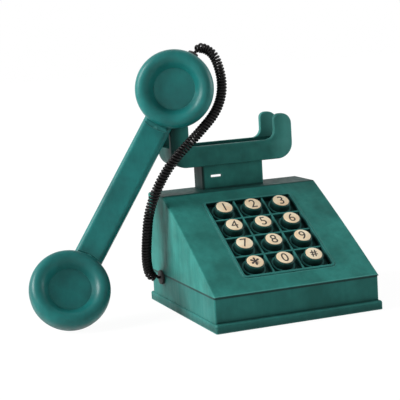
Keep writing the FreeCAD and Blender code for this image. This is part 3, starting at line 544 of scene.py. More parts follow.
# Cells of the keypad keep most of the glaze, which also paints the deep shade in them, and their ribs are
# rubbed pale, which also paints their highlights
KEYPAD_PAINT = replace(
    SHELL_PAINT,
    name="brush_painted_keypad",
    hollow_mm=16.0,
    glaze_and_shade_share=0.97,
    wear_and_highlight="#4C9A95",
)
# Key stems have a nearly black coat
KEY_PAINT = replace(
    SHELL_PAINT,
    name="brush_painted_keys",
    coat="#15453F",
    coat_deep="#0D2E2B",
    wear_and_highlight="#2F6F69",
)
# Painted shade, matt and dark, lies on the cradle's seat
SHADED_SEAT_PAINT = replace(
    SHELL_PAINT,
    name="painted_shade_seat",
    coat="#143B37",
    coat_deep="#0C2826",
    wear_and_highlight="#2F6F69",
    gloss=0.0,
    roughness=0.8,
)
NODE_PAINTS = {
    "housing": HOUSING_PAINT,
    "base_tray": TRAY_PAINT,
    "cradle_neck": NECK_PAINT,
    "cradle": CRADLE_PAINT,
    "handset": HANDSET_PAINT,
    "earpiece": HANDSET_PAINT,
    "mouthpiece": HANDSET_PAINT,
    "keypad": KEYPAD_PAINT,
    "key_": KEY_PAINT,
}
FINISHES = {
    Slot.PAINT: SHELL_PAINT,
    # Moulded urea, yellowed in patches
    Slot.CREAM: SpeckledFinish(
        "moulded_cream_urea", "#F1E4C6", "#EBCFA9", patch_mm=9.0, grain_mm=0.6, roughness=0.38
    ),
    # Soft rubber, dusty and without shine
    Slot.RUBBER: SpeckledFinish(
        "moulded_black_rubber", "#191817", "#232221", patch_mm=5.0, grain_mm=0.5, roughness=0.72, ior=1.52
    ),
    # Extruded vinyl, black with a satin line along each curl
    Slot.CORD: SpeckledFinish(
        "extruded_black_vinyl",
        "#070506",
        "#0C090A",
        patch_mm=6.0,
        grain_mm=0.6,
        roughness=0.42,
        ior=1.45,
        gloss=0.18,
    ),
    # Zinc-plated steel, cloudy and faintly yellow
    Slot.STEEL: SpeckledFinish(
        "zinc_plated_steel", "#B9B8B2", "#A3A39E", patch_mm=7.0, grain_mm=0.5, roughness=0.36, metallic=1.0
    ),
    # Spun brass, with rings too fine to see drawn as soft patches
    Slot.BRASS: SpeckledFinish(
        "spun_brass", "#C9A55A", "#B18B43", patch_mm=6.0, grain_mm=0.5, roughness=0.3, metallic=1.0
    ),
    # Glass-epoxy board, even green and half glossy under its solder mask
    Slot.BOARD: SpeckledFinish(
        "solder_masked_board", "#1F5A34", "#17482A", patch_mm=3.0, grain_mm=0.4, roughness=0.4
    ),
    # Moulded ABS, even black with a fine spark-eroded grain
    Slot.BLACK: SpeckledFinish(
        "moulded_black_abs", "#1C1C1D", "#242425", patch_mm=4.0, grain_mm=0.4, roughness=0.5
    ),
}
# Screen-printed enamel, near-black brown, slightly uneven where the ink is thin
INK = SpeckledFinish(
    "printed_brown_enamel", "#170E09", "#261912", patch_mm=1.5, grain_mm=0.4, roughness=0.45
)


class Dresser:
    """Builds each finish once and puts it on pieces."""

    def __init__(self) -> None:
        """Builds the materials for every slot, the ink, the painted shade of the cradle's seat and each
        kind of paint.
        """
        self.materials = {slot: finish.build() for slot, finish in FINISHES.items()}
        self.ink = INK.build()
        # The seat's painted shade, laid on the cradle as a second material
        self.seat = SHADED_SEAT_PAINT.build()
        paints = {paint.name: paint for paint in NODE_PAINTS.values()}
        built = {name: paint.build() for name, paint in paints.items()}
        self.node_paints = {start: built[paint.name] for start, paint in NODE_PAINTS.items()}

    def paint_for(self, node: str) -> bpy.types.Material:
        """The paint of a painted node: its own kind where it has one, or the shell's.

        Args:
            node: The node's name.

        Returns:
            The material.
        """
        for start, material in self.node_paints.items():
            if node.startswith(start):
                return material
        return self.materials[Slot.PAINT]

    def dress(self, piece: bpy.types.Object, material: bpy.types.Material) -> None:
        """Gives a piece its main material. Faces of a new piece may await a second one.

        Args:
            piece: The piece.
            material: The material.
        """
        if piece.data.materials:
            piece.data.materials.clear()
        piece.data.materials.append(material)

    def dress_nodes(self, frame: dict) -> None:
        """Gives every CAD node the finish of its slot.
        """
        slots = {part["node"]: Slot(part["material_slot"]) for part in frame["record"]["subparts"]}
        for name, node in frame["nodes"].items():
            slot = slots[name]
            self.dress(node, self.paint_for(name) if slot is Slot.PAINT else self.materials[slot])


def add_piece(name: str, mesh: bpy.types.Mesh) -> bpy.types.Object:
    """Puts a mesh into the scene as a piece at the origin.

    Args:
        name: The piece's name.
        mesh: Its mesh, already in place.

    Returns:
        The piece.
    """
    piece = bpy.data.objects.new(name, mesh)
    bpy.context.scene.collection.objects.link(piece)
    return piece


def mesh_from(shape: bmesh.types.BMesh, name: str, smooth: bool = True) -> bpy.types.Mesh:
    """Turns a bmesh into a mesh and frees it.

    Args:
        shape: The finished bmesh.
        name: The mesh's name.
        smooth: Whether its faces are shaded smooth.

    Returns:
        The mesh.
    """
    for face in shape.faces:
        face.smooth = smooth
    mesh = bpy.data.meshes.new(name)
    shape.to_mesh(mesh)
    shape.free()
    return mesh


def soften(shape: bmesh.types.BMesh, edges: list[bmesh.types.BMEdge], reach: float, steps: int) -> None:
    """Rounds edges over.

    Args:
        shape: The bmesh.
        edges: The edges.
        reach: How far the round goes on either side.
        steps: How many faces make the round.
    """
    bmesh.ops.bevel(
        shape, geom=edges, offset=reach, segments=steps, profile=0.5, affect="EDGES", material=-1
    )


def evaluated_mesh(data: bpy.types.Curve, name: str) -> bpy.types.Mesh:
    """The mesh that a curve or text makes, with the curve removed.

    Args:
        data: The curve or text data.
        name: The mesh's name.

    Returns:
        The mesh.
    """
    holder = bpy.data.objects.new(name + "_line", data)
    bpy.context.scene.collection.objects.link(holder)
    graph = bpy.context.evaluated_depsgraph_get()
    mesh = bpy.data.meshes.new_from_object(holder.evaluated_get(graph))
    mesh.name = name
    bpy.data.objects.remove(holder)
    bpy.data.curves.remove(data)
    return mesh


def wire_mesh(name: str, points: list[Vector], diameter: float) -> bpy.types.Mesh:
    """A round wire with closed ends.

    Args:
        name: The mesh's name.
        points: Close points along the wire's middle.
        diameter: The wire's thickness.

    Returns:
        The mesh, shaded smooth.
    """
    data = bpy.data.curves.new(name, "CURVE")
    data.dimensions = "3D"
    data.bevel_depth = diameter / 2
    data.bevel_resolution = WIRE_STEPS
    data.use_fill_caps = True
    spline = data.splines.new("POLY")
    spline.points.add(len(points) - 1)
    for point, place in zip(spline.points, points):
        point.co = (*place, 1.0)
    mesh = evaluated_mesh(data, name)
    for face in mesh.polygons:
        face.use_smooth = True
    return mesh


@dataclass(frozen=True)
class Lamp:
    """A square area lamp: where it hangs, its side and its power in watts."""

    name: str
    place: Point
    size: float
    power: float


@dataclass
class Studio:
    """Camera at the photograph's angle, soft light from the left and a pale floor."""

    camera_place: Point = (-0.41171, -0.94763, 0.23867)
    camera_right: Point = (0.92918, -0.36492, -0.05886)
    camera_up: Point = (0.10695, 0.11299, 0.98782)
    camera_back: Point = (-0.35383, -0.92416, 0.14401)
    lens_mm: float = 117.04
    sensor_mm: float = 36.0
    aim: Point = (-0.05, 0.0, 0.09)
    lamps: tuple[Lamp, ...] = (
        Lamp("left_window", place=(-1.7, 0.22, 0.95), size=0.9, power=52.0),
        Lamp("front_card", place=(-0.6, -1.9, 0.7), size=1.2, power=2.0),
        Lamp("right_card", place=(1.7, -0.25, 0.5), size=0.5, power=15.0),
    )
    floor_half: float = 4.0
    floor_tone: str = "#F4F4F2"
    floor_glow: float = 1.04
    shadow_reach: float = 0.12
    white_reach: float = 0.6
    white_near: float = 0.92
    ambient: float = 0.24

    def add_camera(self) -> None:
        """Makes the scene's camera."""
        data = bpy.data.cameras.new("photo_camera")
        data.lens = self.lens_mm
        data.sensor_width = self.sensor_mm
        camera = bpy.data.objects.new("photo_camera", data)
        turn = Matrix((self.camera_right, self.camera_up, self.camera_back)).transposed()
        camera.matrix_world = Matrix.Translation(self.camera_place) @ turn.to_4x4()
        bpy.context.scene.collection.objects.link(camera)
        bpy.context.scene.camera = camera

    def add_lamp(self, lamp: Lamp) -> None:
        """Adds one lamp, aimed at the telephone.

        Args:
            lamp: The lamp.
        """
        data = bpy.data.lights.new(lamp.name, "AREA")
        data.size = lamp.size
        data.energy = lamp.power
        light = bpy.data.objects.new(lamp.name, data)
        light.location = lamp.place
        way = Vector(self.aim) - Vector(lamp.place)
        light.rotation_euler = way.to_track_quat("-Z", "Y").to_euler()
        bpy.context.scene.collection.objects.link(light)

    def seen_directly(self, tree: bpy.types.NodeTree) -> bpy.types.NodeSocket:
        """Tells rays from the camera, a reflection or a clear body from those that light the scene.

        Args:
            tree: The node tree that asks.

        Returns:
            A socket that is 1 for the former and 0 for the latter.
        """
        path = add_node(tree, "ShaderNodeLightPath")
        mirrored = add_node(
            tree,
            "ShaderNodeMath",
            {"operation": "MAXIMUM"},
            {0: path.outputs["Is Camera Ray"], 1: path.outputs["Is Glossy Ray"]},
        )
        through = add_node(
            tree,
            "ShaderNodeMath",
            {"operation": "MAXIMUM"},
            {0: mirrored.outputs["Value"], 1: path.outputs["Is Transmission Ray"]},
        )
        return through.outputs["Value"]

    def add_world(self) -> None:
        """White behind the object, and dimmer light around it."""
        world = bpy.data.worlds.new("pale_room")
        world.use_nodes = True
        tree = world.node_tree
        tree.nodes.clear()
        soft = add_node(tree, "ShaderNodeBackground", {"Color": (1, 1, 1, 1), "Strength": self.ambient})
        white = add_node(tree, "ShaderNodeBackground", {"Color": (1, 1, 1, 1), "Strength": 1.0})
        both = add_node(
            tree,
            "ShaderNodeMixShader",
            None,
            {0: self.seen_directly(tree), 1: soft.outputs[0], 2: white.outputs[0]},
        )
        add_node(tree, "ShaderNodeOutputWorld", None, {"Surface": both.outputs[0]})
        bpy.context.scene.world = world

    def add_floor(self) -> None:
        """A wide pale floor that stays nearly white but keeps the shadow."""
        shape = bmesh.new()
        bmesh.ops.create_grid(shape, x_segments=1, y_segments=1, size=self.floor_half)
        floor = add_piece("floor", mesh_from(shape, "floor", smooth=False))
        material, tree = new_material("matt_white_card")
        card = add_node(tree, "ShaderNodeBsdfDiffuse", {"Color": linear(self.floor_tone)})
        glow = add_node(tree, "ShaderNodeEmission", {"Color": (1, 1, 1, 1), "Strength": self.floor_glow})
        place = add_node(tree, "ShaderNodeTexCoord").outputs["Object"]
        away = add_node(tree, "ShaderNodeVectorMath", {"operation": "LENGTH"}, {0: place})
        white_share = add_node(
            tree,
            "ShaderNodeMapRange",
            {
                "From Min": self.shadow_reach,
                "From Max": self.white_reach,
                "To Min": self.white_near,
                "To Max": 1.0,
            },
            {"Value": away.outputs["Value"]},
        )
        share = add_node(
            tree,
            "ShaderNodeMath",
            {"operation": "MULTIPLY"},
            {0: self.seen_directly(tree), 1: white_share.outputs["Result"]},
        )
        both = add_node(
            tree,
            "ShaderNodeMixShader",
            None,
            {0: share.outputs["Value"], 1: card.outputs[0], 2: glow.outputs[0]},
        )
        add_node(tree, "ShaderNodeOutputMaterial", None, {"Surface": both.outputs[0]})
        floor.data.materials.append(material)

    def build(self) -> None:
        """Sets up everything that isn't the object."""
        bpy.context.scene.view_settings.view_transform = "Standard"
        self.add_camera()
        for lamp in self.lamps:
            self.add_lamp(lamp)
        self.add_world()
        self.add_floor()


@dataclass
class CurlyCord:
    """Coiled cord from the handset's upper end down to the base's left wall."""

    route: tuple[Point, ...] = (
        (-0.0310, 0.0413, 0.2043),
        (-0.0276, 0.0420, 0.2092),
        (-0.0194, 0.0422, 0.2075),
        (-0.0126, 0.0395, 0.2005),
        (-0.0107, 0.0312, 0.1785),
        (-0.0194, 0.0244, 0.1585),
        (-0.0389, 0.0200, 0.1416),
        (-0.0664, 0.0212, 0.1179),
        (-0.0832, 0.0247, 0.0861),
        (-0.0852, 0.0311, 0.0571),
        (-0.0835, 0.0396, 0.0376),
        (-0.0790, 0.0442, 0.0241),
        (-0.0710, 0.0442, 0.0241),
    )
    outer_diameter: float = 8.4 * MM
    wire_diameter: float = 2.2 * MM
    curls: int = 94
    points_per_curl: int = 20
    ramp: float = 8.0 * MM
    wire_length: float = 1.77
    route_steps: int = 24
    route_order: int = 3

    def route_line(self) -> list[Vector]:
        """Points read from the route's smooth spline.

        Returns:
            Close points from the handset to the base.
        """
        data = bpy.data.curves.new("cord_route", "CURVE")
        data.dimensions = "3D"
        data.resolution_u = self.route_steps
        spline = data.splines.new("NURBS")
        spline.points.add(len(self.route) - 1)
        for point, place in zip(spline.points, self.route):
            point.co = (*place, 1.0)
        spline.order_u = self.route_order
        spline.use_endpoint_u = True
        mesh = evaluated_mesh(data, "cord_route")
        line = [vertex.co.copy() for vertex in mesh.vertices]
        bpy.data.meshes.remove(mesh)
        return line

    def curl_line(self) -> list[Vector]:
        """The wire's own centreline, winding round the route.

        Returns:
            Close points along the wire.
        """
        line = self.route_line()
        lengths = [0.0]
        for before, here in zip(line, line[1:]):
            lengths.append(lengths[-1] + (here - before).length)
        total = lengths[-1]
        winding_radius = (self.outer_diameter - self.wire_diameter) / 2
        steps = self.curls * self.points_per_curl
        way = (line[1] - line[0]).normalized()
        side = way.cross(Vector((0, 0, 1))).normalized()
        points = []
        index = 0
        turn = 0.0
        for step in range(steps + 1):
            along = total * step / steps
            while index < len(line) - 2 and lengths[index + 1] < along:
                index += 1
            hop = lengths[index + 1] - lengths[index]
            centre = line[index].lerp(line[index + 1], (along - lengths[index]) / hop)
            way = (line[index + 1] - line[index]).normalized()
            side = (side - way * side.dot(way)).normalized()
            share = min(1.0, min(along, total - along) / self.ramp)
            ease = share * share * (3 - 2 * share)
            turn += 2 * math.pi * ease / self.points_per_curl
            around = side * math.cos(turn) + way.cross(side) * math.sin(turn)
            points.append(centre + around * winding_radius * ease)
        return points

    def build(self, dresser: Dresser) -> None:
        """Makes the wound wire between the base and the handset.

        Args:
            dresser: The finishes.
        """
        points = self.curl_line()
        mesh = wire_mesh("curly_cord_wire", points, self.wire_diameter)
        wire = add_piece("curly_cord_wire", mesh)
        dresser.dress(wire, dresser.materials[Slot.CORD])
        length = sum((b - a).length for a, b in zip(points, points[1:]))
        log.info("cord: wire %.3f m, declared %.3f m", length, self.wire_length)
        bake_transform(wire)
        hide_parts("curly_cord")


@dataclass
class Keypad:
    """Cream key faces with printed figures, on the sloped front."""

    lip: Point = (0.0, -70.35 * MM, 26.9 * MM)
    brow: Point = (0.0, 33.9 * MM, 91.8 * MM)
    column_pitch: float = 25.0 * MM
    row_pitch: float = 22.3 * MM
    middle: float = 62.8 * MM
    face_radius: float = 6.6 * MM
    face_low: float = 4.4 * MM
    face_thickness: float = 0.45 * MM
    face_round: float = 0.2 * MM
    face_sides: int = 64
    round_steps: int = 4
    figure_height: float = 9.2 * MM
    figure_squeeze: float = 0.92
    figure_rise: float = 0.06 * MM
    figure_half: float = 0.01
    sign_weight: float = 0.02
    signs: dict[str, tuple[str, float]] = field(
        default_factory=lambda: {"star": ("*", 0.95), "hash": ("#", 0.8)}
    )
    rows: tuple[tuple[str, ...], ...] = (
        ("star", "0", "hash"),
        ("7", "8", "9"),
        ("4", "5", "6"),
        ("1", "2", "3"),
    )

    def slope(self) -> Matrix:
        """Finds where the slope lies.

        Returns:
            Its placement, with x across, y up the slope and z out of it.
        """
        across = Vector((1, 0, 0))
        up = (Vector(self.brow) - Vector(self.lip)).normalized()
        out = across.cross(up)
        turn = Matrix((across, up, out)).transposed()
        return Matrix.Translation(self.lip) @ turn.to_4x4()

    def places(self) -> list[tuple[str, Matrix]]:
        """Lays out the keys in rows from the front edge up.

        Returns:
            Each key's name with the placement of its middle on the slope.
        """
        found = []
        for row, names in enumerate(self.rows):
            for column, name in enumerate(names):
                across = (column - (len(names) - 1) / 2) * self.column_pitch
                up = self.middle + (row - (len(self.rows) - 1) / 2) * self.row_pitch
                found.append((name, self.slope() @ Matrix.Translation((across, up, 0))))
        return found

    def face_mesh(self, name: str, place: Matrix) -> bpy.types.Mesh:
        """A round disc with a softened rim.

        Args:
            name: The mesh's name.
            place: The key's placement.

        Returns:
            The mesh.
        """
        shape = bmesh.new()
        bmesh.ops.create_circle(
            shape, cap_ends=True, segments=self.face_sides, radius=self.face_radius
        )
        lifted = bmesh.ops.extrude_face_region(shape, geom=list(shape.faces))
        top = [item for item in lifted["geom"] if isinstance(item, bmesh.types.BMVert)]
        bmesh.ops.translate(shape, verts=top, vec=(0, 0, self.face_thickness))
        rim = [edge for edge in shape.edges if all(vert in top for vert in edge.verts)]
        soften(shape, rim, self.face_round, self.round_steps)
        bmesh.ops.recalc_face_normals(shape, faces=shape.faces)
        bmesh.ops.transform(
            shape, matrix=place @ Matrix.Translation((0, 0, self.face_low)), verts=shape.verts
        )
        return mesh_from(shape, name)

    def figure_mesh(self, name: str, place: Matrix) -> bpy.types.Mesh:
        """A printed figure as a thin film on the face.

        Args:
            name: The key's name.
            place: The key's placement.

        Returns:
            The mesh.
        """
        sign, share = self.signs.get(name, (name, 1.0))
        data = bpy.data.curves.new("figure_" + name, "FONT")
        data.body = sign
        data.size = 1.0
        data.extrude = self.figure_half
        if name in self.signs:
            data.offset = self.sign_weight
        mesh = evaluated_mesh(data, "figure_" + name)
        low = Vector([min(vertex.co[axis] for vertex in mesh.vertices) for axis in range(3)])
        high = Vector([max(vertex.co[axis] for vertex in mesh.vertices) for axis in range(3)])
        scale = share * self.figure_height / (high.y - low.y)
        stretch = (scale * self.figure_squeeze, scale, self.figure_rise / self.figure_half, 1.0)
        centred = Matrix.Diagonal(stretch) @ Matrix.Translation(-(low + high) / 2)
        top = Matrix.Translation((0, 0, self.face_low + self.face_thickness))
        mesh.transform(place @ top @ centred)
        return mesh

    def build(self, dresser: Dresser) -> None:
        """Makes the face and the figure of every key.

        Args:
            dresser: The finishes.
        """
        for name, place in self.places():
            body = "key_" + name
            face = add_piece(body + "_disc", self.face_mesh(body + "_disc", place))
            dresser.dress(face, dresser.materials[Slot.CREAM])
            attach(face, body)
            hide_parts(body + "_face")
            figure = add_piece(body + "_figure", self.figure_mesh(name, place))
            dresser.dress(figure, dresser.ink)
            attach(figure, body)
            log.info("key %s: face and figure", name)


@dataclass
class Handset:
    """Caps of the handset: a fat rounded rim, a dished bowl and a plain disc in the middle."""

    ear: Point = (-157.0 * MM, 8.3 * MM, 32.5 * MM)
    mouth: Point = (-54.1 * MM, 29.2 * MM, 178.0 * MM)
    front: Point = (-0.237, -0.917, 0.320)
    tilt_deg: float = 15.0
    turn_steps: int = 64
    smooth_levels: int = 2
    ring_profile_mm: Profile = (
        (28.6, -7.0),
        (31.0, -7.0),
        (31.8, -6.2),
        (31.8, -0.6),
        (31.0, 3.4),
        (28.7, 6.2),
        (25.2, 7.0),
        (21.8, 5.8),
        (19.4, 3.2),
        (17.8, 0.8),
        (16.6, -0.6),
        (16.2, -1.6),
        (28.6, -1.9),
    )
    disc_profile_mm: Profile = (
        (0.0, -1.3),
        (6.0, -1.25),
        (12.0, -1.1),
        (16.4, -0.9),
        (17.4, -1.0),
        (17.4, -2.2),
        (0.0, -2.2),
    )

    def cap_place(self, centre: Point, side: int) -> Matrix:
        """The placement of a cap: z out of its face, tilted towards the other cap.

        Args:
            centre: The cap's middle.
            side: 1 at the mouthpiece and -1 at the earpiece.

        Returns:
            The placement.
        """
        along = (Vector(self.mouth) - Vector(self.ear)).normalized()
        face = Vector(self.front)
        face = (face - along * face.dot(along)).normalized()
        tilt = math.radians(self.tilt_deg)
        out = face * math.cos(tilt) - along * (side * math.sin(tilt))
        across = face.cross(along)
        turn = Matrix((across.cross(out), across, out)).transposed()
        return Matrix.Translation(centre) @ turn.to_4x4()

    def turned(self, name: str, profile_mm: Profile, place: Matrix) -> bpy.types.Object:
        """Turns a profile round a cap's axis and smooths it.

        Args:
            name: The piece's name.
            profile_mm: Radius and height of each corner.
            place: The cap's placement.

        Returns:
            The piece.
        """
        shape = bmesh.new()
        corners = [shape.verts.new((radius * MM, 0, height * MM)) for radius, height in profile_mm]
        edges = [shape.edges.new(pair) for pair in zip(corners, corners[1:])]
        if profile_mm[0][0] > 0:
            edges.append(shape.edges.new((corners[-1], corners[0])))
        bmesh.ops.spin(
            shape,
            geom=corners + edges,
            cent=(0, 0, 0),
            axis=(0, 0, 1),
            angle=2 * math.pi,
            steps=self.turn_steps,
            use_merge=True,
        )
        bmesh.ops.remove_doubles(shape, verts=shape.verts, dist=TOUCH)
        bmesh.ops.recalc_face_normals(shape, faces=shape.faces)
        bmesh.ops.transform(shape, matrix=place, verts=shape.verts)
        piece = add_piece(name, mesh_from(shape, name))
        smooth = piece.modifiers.new("rounded", "SUBSURF")
        smooth.levels = self.smooth_levels
        smooth.render_levels = self.smooth_levels
        return piece

    def build(self, dresser: Dresser) -> None:
        """Makes both caps and their discs.

        Args:
            dresser: The finishes.
        """
        for name, centre, side in (("earpiece", self.ear, -1), ("mouthpiece", self.mouth, 1)):
            place = self.cap_place(centre, side)
            for kind, profile in (("cap", self.ring_profile_mm), ("disc", self.disc_profile_mm)):
                piece = self.turned(f"{name}_{kind}_shell", profile, place)
                dresser.dress(piece, dresser.paint_for(name))
                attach(piece, "handset")
                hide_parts(f"{name}_{kind}")
                log.info("handset: %s %s", name, kind)


@dataclass
class Cradle:
    """Cradle with rounded prongs: two cheeks joined by a seat, hollow where it slides over the neck."""

    half: float = 54.4 * MM
    front: float = 43.8 * MM
    back: float = 77.0 * MM
    bottom: float = 111.5 * MM
    seat: float = 128.3 * MM
    tip: float = 149.5 * MM
    prong_inner: float = 38.3 * MM
    cheek: float = 4.5 * MM
    low_round: float = 13.0 * MM
    outer_round: float = 9.0 * MM
    inner_round: float = 5.0 * MM
    seat_round: float = 7.5 * MM
    rim_round: float = 1.2 * MM
    rim_steps: int = 3
    lip_round: float = 0.8 * MM
    lip_steps: int = 2
    pocket_half: float = 27.95 * MM
    pocket_front: float = 46.5 * MM
    pocket_back: float = 67.5 * MM
    pocket_depth: float = 5.5 * MM
    arc_steps: int = 10
    smooth_deg: float = 20.0

    def arc(
        self, x: float, z: float, radius: float, start_deg: float, end_deg: float
    ) -> list[tuple[float, float]]:
        """Points of a round corner.

        Args:
            x: The corner's centre across.
            z: The corner's centre in height.
            radius: Its radius.
            start_deg: Where it starts, from the right and up.
            end_deg: Where it ends.

        Returns:
            Points across and in height.
        """
        found = []
        for step in range(self.arc_steps + 1):
            turn = math.radians(start_deg + (end_deg - start_deg) * step / self.arc_steps)
            found.append((x + radius * math.cos(turn), z + radius * math.sin(turn)))
        return found

    def right_half(self) -> tuple[list[tuple[float, float]], int]:
        """The outline's right half, from the pocket's corner round the prong to the seat.

        Returns:
            The points, and the number of the one at seat height on the end.
        """
        low = self.low_round
        outer = self.outer_round
        inner = self.inner_round
        elbow = self.seat_round
        points = [(self.pocket_half, self.bottom)]
        points += self.arc(self.half - low, self.bottom + low, low, -90, 0)
        level = len(points)
        points.append((self.half, self.seat))
        points += self.arc(self.half - outer, self.tip - outer, outer, 0, 90)
        points += self.arc(self.prong_inner + inner, self.tip - inner, inner, 90, 180)
        points += self.arc(self.prong_inner - elbow, self.seat + elbow, elbow, 0, -90)
        return points, level

    def add_walls(
        self, shape: bmesh.types.BMesh, near: Ring, far: Ring, skip_last: bool
    ) -> list[bmesh.types.BMFace]:
        """Joins two rings of corners with walls.

        Args:
            shape: The bmesh.
            near: The ring in front.
            far: The ring behind.
            skip_last: Whether the wall that closes the rings is left open.

        Returns:
            The walls.
        """
        count = len(near)
        walls = []
        for index in range(count - 1 if skip_last else count):
            after = (index + 1) % count
            walls.append(shape.faces.new((near[index], near[after], far[after], far[index])))
        return walls

    def add_pocket(self, shape: bmesh.types.BMesh, rings: list[Ring]) -> None:
        """Lines the pocket under the beam.

        Args:
            shape: The bmesh.
            rings: The three rings that the pocket spans, from front to back.
        """
        rights = [ring[0] for ring in rings]
        lefts = [ring[-1] for ring in rings]
        lift = Vector((0, 0, self.pocket_depth))
        high = [shape.verts.new(vert.co + lift) for vert in (rights[0], rights[-1], lefts[-1], lefts[0])]
        shape.faces.new((lefts[0], rights[0], high[0], high[3]))
        shape.faces.new((*rights, high[1], high[0]))
        shape.faces.new((rights[-1], lefts[-1], high[2], high[1]))
        shape.faces.new((*reversed(lefts), high[3], high[2]))
        shape.faces.new(high)

    def mesh(self) -> bpy.types.Mesh:
        """Builds the cradle as one closed shell.

        Returns:
            The mesh, with the seat as its second material.
        """
        shape = bmesh.new()
        right, level = self.right_half()
        outline = right + [(-x, z) for x, z in reversed(right)]
        last = len(outline) - 1
        ends = len(right) - 1
        # Corners at seat height or lower, which make the block between the cheeks
        low = [*range(level + 1), ends, last - ends, *range(last - level, last + 1)]

        def ring(y: float, chosen: list[int]) -> Ring:
            """Corners of the outline at one depth."""
            return [shape.verts.new((outline[i][0], y, outline[i][1])) for i in chosen]

        every = list(range(len(outline)))
        front = ring(self.front, every)
        pocket_front = ring(self.pocket_front, every)
        cheek_back = ring(self.front + self.cheek, every)
        pocket_back = ring(self.pocket_back, low)
        rear_front = ring(self.back - self.cheek, every)
        back = ring(self.back, every)
        shape.faces.new(front)
        shape.faces.new(back)
        self.add_walls(shape, front, pocket_front, False)
        self.add_walls(shape, pocket_front, cheek_back, True)
        self.add_walls(shape, rear_front, back, False)
        block = self.add_walls(shape, [cheek_back[i] for i in low], pocket_back, True)
        block += self.add_walls(shape, pocket_back, [rear_front[i] for i in low], False)
        for rim in (cheek_back, rear_front):
            shape.faces.new(rim[level : ends + 1])
            shape.faces.new(rim[last - ends : last - level + 1])
        self.add_pocket(shape, [pocket_front, cheek_back, pocket_back])
        # Flat faces at seat height take the second material, the seat's painted shade
        for wall in block:
            flat = all(abs(vert.co.z - self.seat) < TOUCH for vert in wall.verts)
            wall.material_index = int(flat)
        bmesh.ops.recalc_face_normals(shape, faces=shape.faces)
        outer = {*front, *back}
        rims = [edge for edge in shape.edges if all(vert in outer for vert in edge.verts)]
        inner = {vert for rim in (cheek_back, rear_front) for vert in rim[level + 1 : last - level]}
        lips = [
            edge
            for edge in shape.edges
            if all(vert in inner and vert.co.z > self.seat + self.lip_round for vert in edge.verts)
            and edge.verts[0].co.y == edge.verts[1].co.y
        ]
        soften(shape, rims, self.rim_round, self.rim_steps)
        soften(shape, [edge for edge in lips if edge.is_valid], self.lip_round, self.lip_steps)
        mesh = mesh_from(shape, "cradle_shell")
        mesh.set_sharp_from_angle(angle=math.radians(self.smooth_deg))
        return mesh

    def build(self, dresser: Dresser) -> None:
        """Makes the cradle, with painted shade on its seat.

        Args:
            dresser: The finishes.
        """
        shell = add_piece("cradle_shell", self.mesh())
        dresser.dress(shell, dresser.paint_for("cradle"))
        # The seat's painted shade is the cradle's second material
        shell.data.materials.append(dresser.seat)
        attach(shell, "cradle")
        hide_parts("cradle")
        log.info("cradle: %d faces", len(shell.data.polygons))


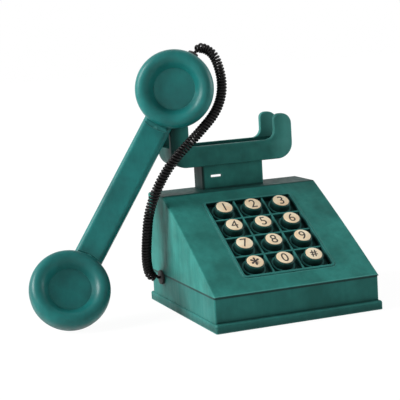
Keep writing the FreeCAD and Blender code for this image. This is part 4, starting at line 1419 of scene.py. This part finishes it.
@dataclass
class Mechanism:
    """Soft parts inside: the mat and domes under the keys, and the spring under the cradle."""

    sheet_half: float = 43.7 * MM
    sheet_low: float = 11.6 * MM
    sheet_high: float = 113.0 * MM
    sheet_bottom: float = -12.2 * MM
    sheet_top: float = -11.0 * MM
    sheet_round: float = 0.4 * MM
    sheet_steps: int = 2
    dome_base: float = 6.4 * MM
    dome_pad: float = 4.2 * MM
    dome_height: float = 2.9 * MM
    dome_sides: int = 40
    dome_steps: int = 3
    dome_keep: float = 0.24
    spring_y: float = 57.0 * MM
    spring_low: float = 72.0 * MM
    spring_high: float = 88.0 * MM
    spring_outer: float = 6.2 * MM
    spring_wire: float = 1.1 * MM
    spring_turns: int = 7
    spring_flat_turns: int = 1
    spring_keep: float = 0.75
    points_per_turn: int = 28

    def sheet_mesh(self, slope: Matrix) -> bpy.types.Mesh:
        """The mat's flat sheet, with softened edges.

        Args:
            slope: The placement of the slope.

        Returns:
            The mesh.
        """
        shape = bmesh.new()
        low = Vector((-self.sheet_half, self.sheet_low, self.sheet_bottom))
        high = Vector((self.sheet_half, self.sheet_high, self.sheet_top))
        fit = slope @ Matrix.Translation((low + high) / 2) @ Matrix.Diagonal((*(high - low), 1.0))
        bmesh.ops.create_cube(shape, size=1.0, matrix=fit)
        soften(shape, list(shape.edges), self.sheet_round, self.sheet_steps)
        return mesh_from(shape, "key_mat_sheet", smooth=False)

    def dome_mesh(self, name: str, place: Matrix) -> bpy.types.Mesh:
        """One rubber dome: a sloped wall up to a round pad.

        Args:
            name: The mesh's name.
            place: The key's placement.

        Returns:
            The mesh.
        """
        shape = bmesh.new()
        fit = place @ Matrix.Translation((0, 0, self.sheet_top + self.dome_height / 2))
        bmesh.ops.create_cone(
            shape,
            cap_ends=True,
            segments=self.dome_sides,
            radius1=self.dome_base,
            radius2=self.dome_pad,
            depth=self.dome_height,
            matrix=fit,
        )
        rims = [edge for edge in shape.edges if any(len(face.verts) > 4 for face in edge.link_faces)]
        soften(shape, rims, self.sheet_round, self.dome_steps)
        return mesh_from(shape, name)

    def spring_mesh(self) -> bpy.types.Mesh:
        """A wound spring with its end turns laid flat.

        Returns:
            The mesh.
        """
        reach = self.spring_outer - self.spring_wire / 2
        rise = self.spring_high - self.spring_low - self.spring_wire
        rising_turns = self.spring_turns - 2 * self.spring_flat_turns
        points = []
        for step in range(self.spring_turns * self.points_per_turn + 1):
            turn = 2 * math.pi * step / self.points_per_turn
            risen = (step / self.points_per_turn - self.spring_flat_turns) / rising_turns
            share = min(1.0, max(0.0, risen))
            height = self.spring_low + self.spring_wire / 2 + rise * share
            points.append(Vector((reach * math.cos(turn), self.spring_y + reach * math.sin(turn), height)))
        return wire_mesh("hook_spring_wire", points, self.spring_wire)

    def build(self, dresser: Dresser, keypad: Keypad) -> None:
        """Makes the mat, its domes and the spring.

        Args:
            dresser: The finishes.
            keypad: The keypad that the mat lies under.
        """
        sheet = add_piece("key_mat_sheet", self.sheet_mesh(keypad.slope()))
        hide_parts("dome_mat")
        spring = add_piece("hook_spring_wire", self.spring_mesh())
        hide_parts("hook_spring")
        domes = [
            (name, place, add_piece(f"key_{name}_dome", self.dome_mesh(f"key_{name}_dome", place)))
            for name, place in keypad.places()
        ]
        for piece in [sheet, *(dome for _, _, dome in domes)]:
            dresser.dress(piece, dresser.materials[Slot.RUBBER])
            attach(piece, "base")
        dresser.dress(spring, dresser.materials[Slot.STEEL])
        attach(spring, "base")
        for name, place, dome in domes:
            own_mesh(dome)
        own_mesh(spring)
        log.info("mechanism: mat, %d domes and spring", len(domes))


def main() -> None:
    """Loads the frame, dresses it and builds the pieces."""
    logging.basicConfig(level=logging.INFO, format="%(name)s: %(message)s")
    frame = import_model()
    Studio().build()
    dresser = Dresser()
    dresser.dress_nodes(frame)
    CurlyCord().build(dresser)
    keypad = Keypad()
    keypad.build(dresser)
    Handset().build(dresser)
    Cradle().build(dresser)
    Mechanism().build(dresser, keypad)


if __name__ == "__main__":
    main()
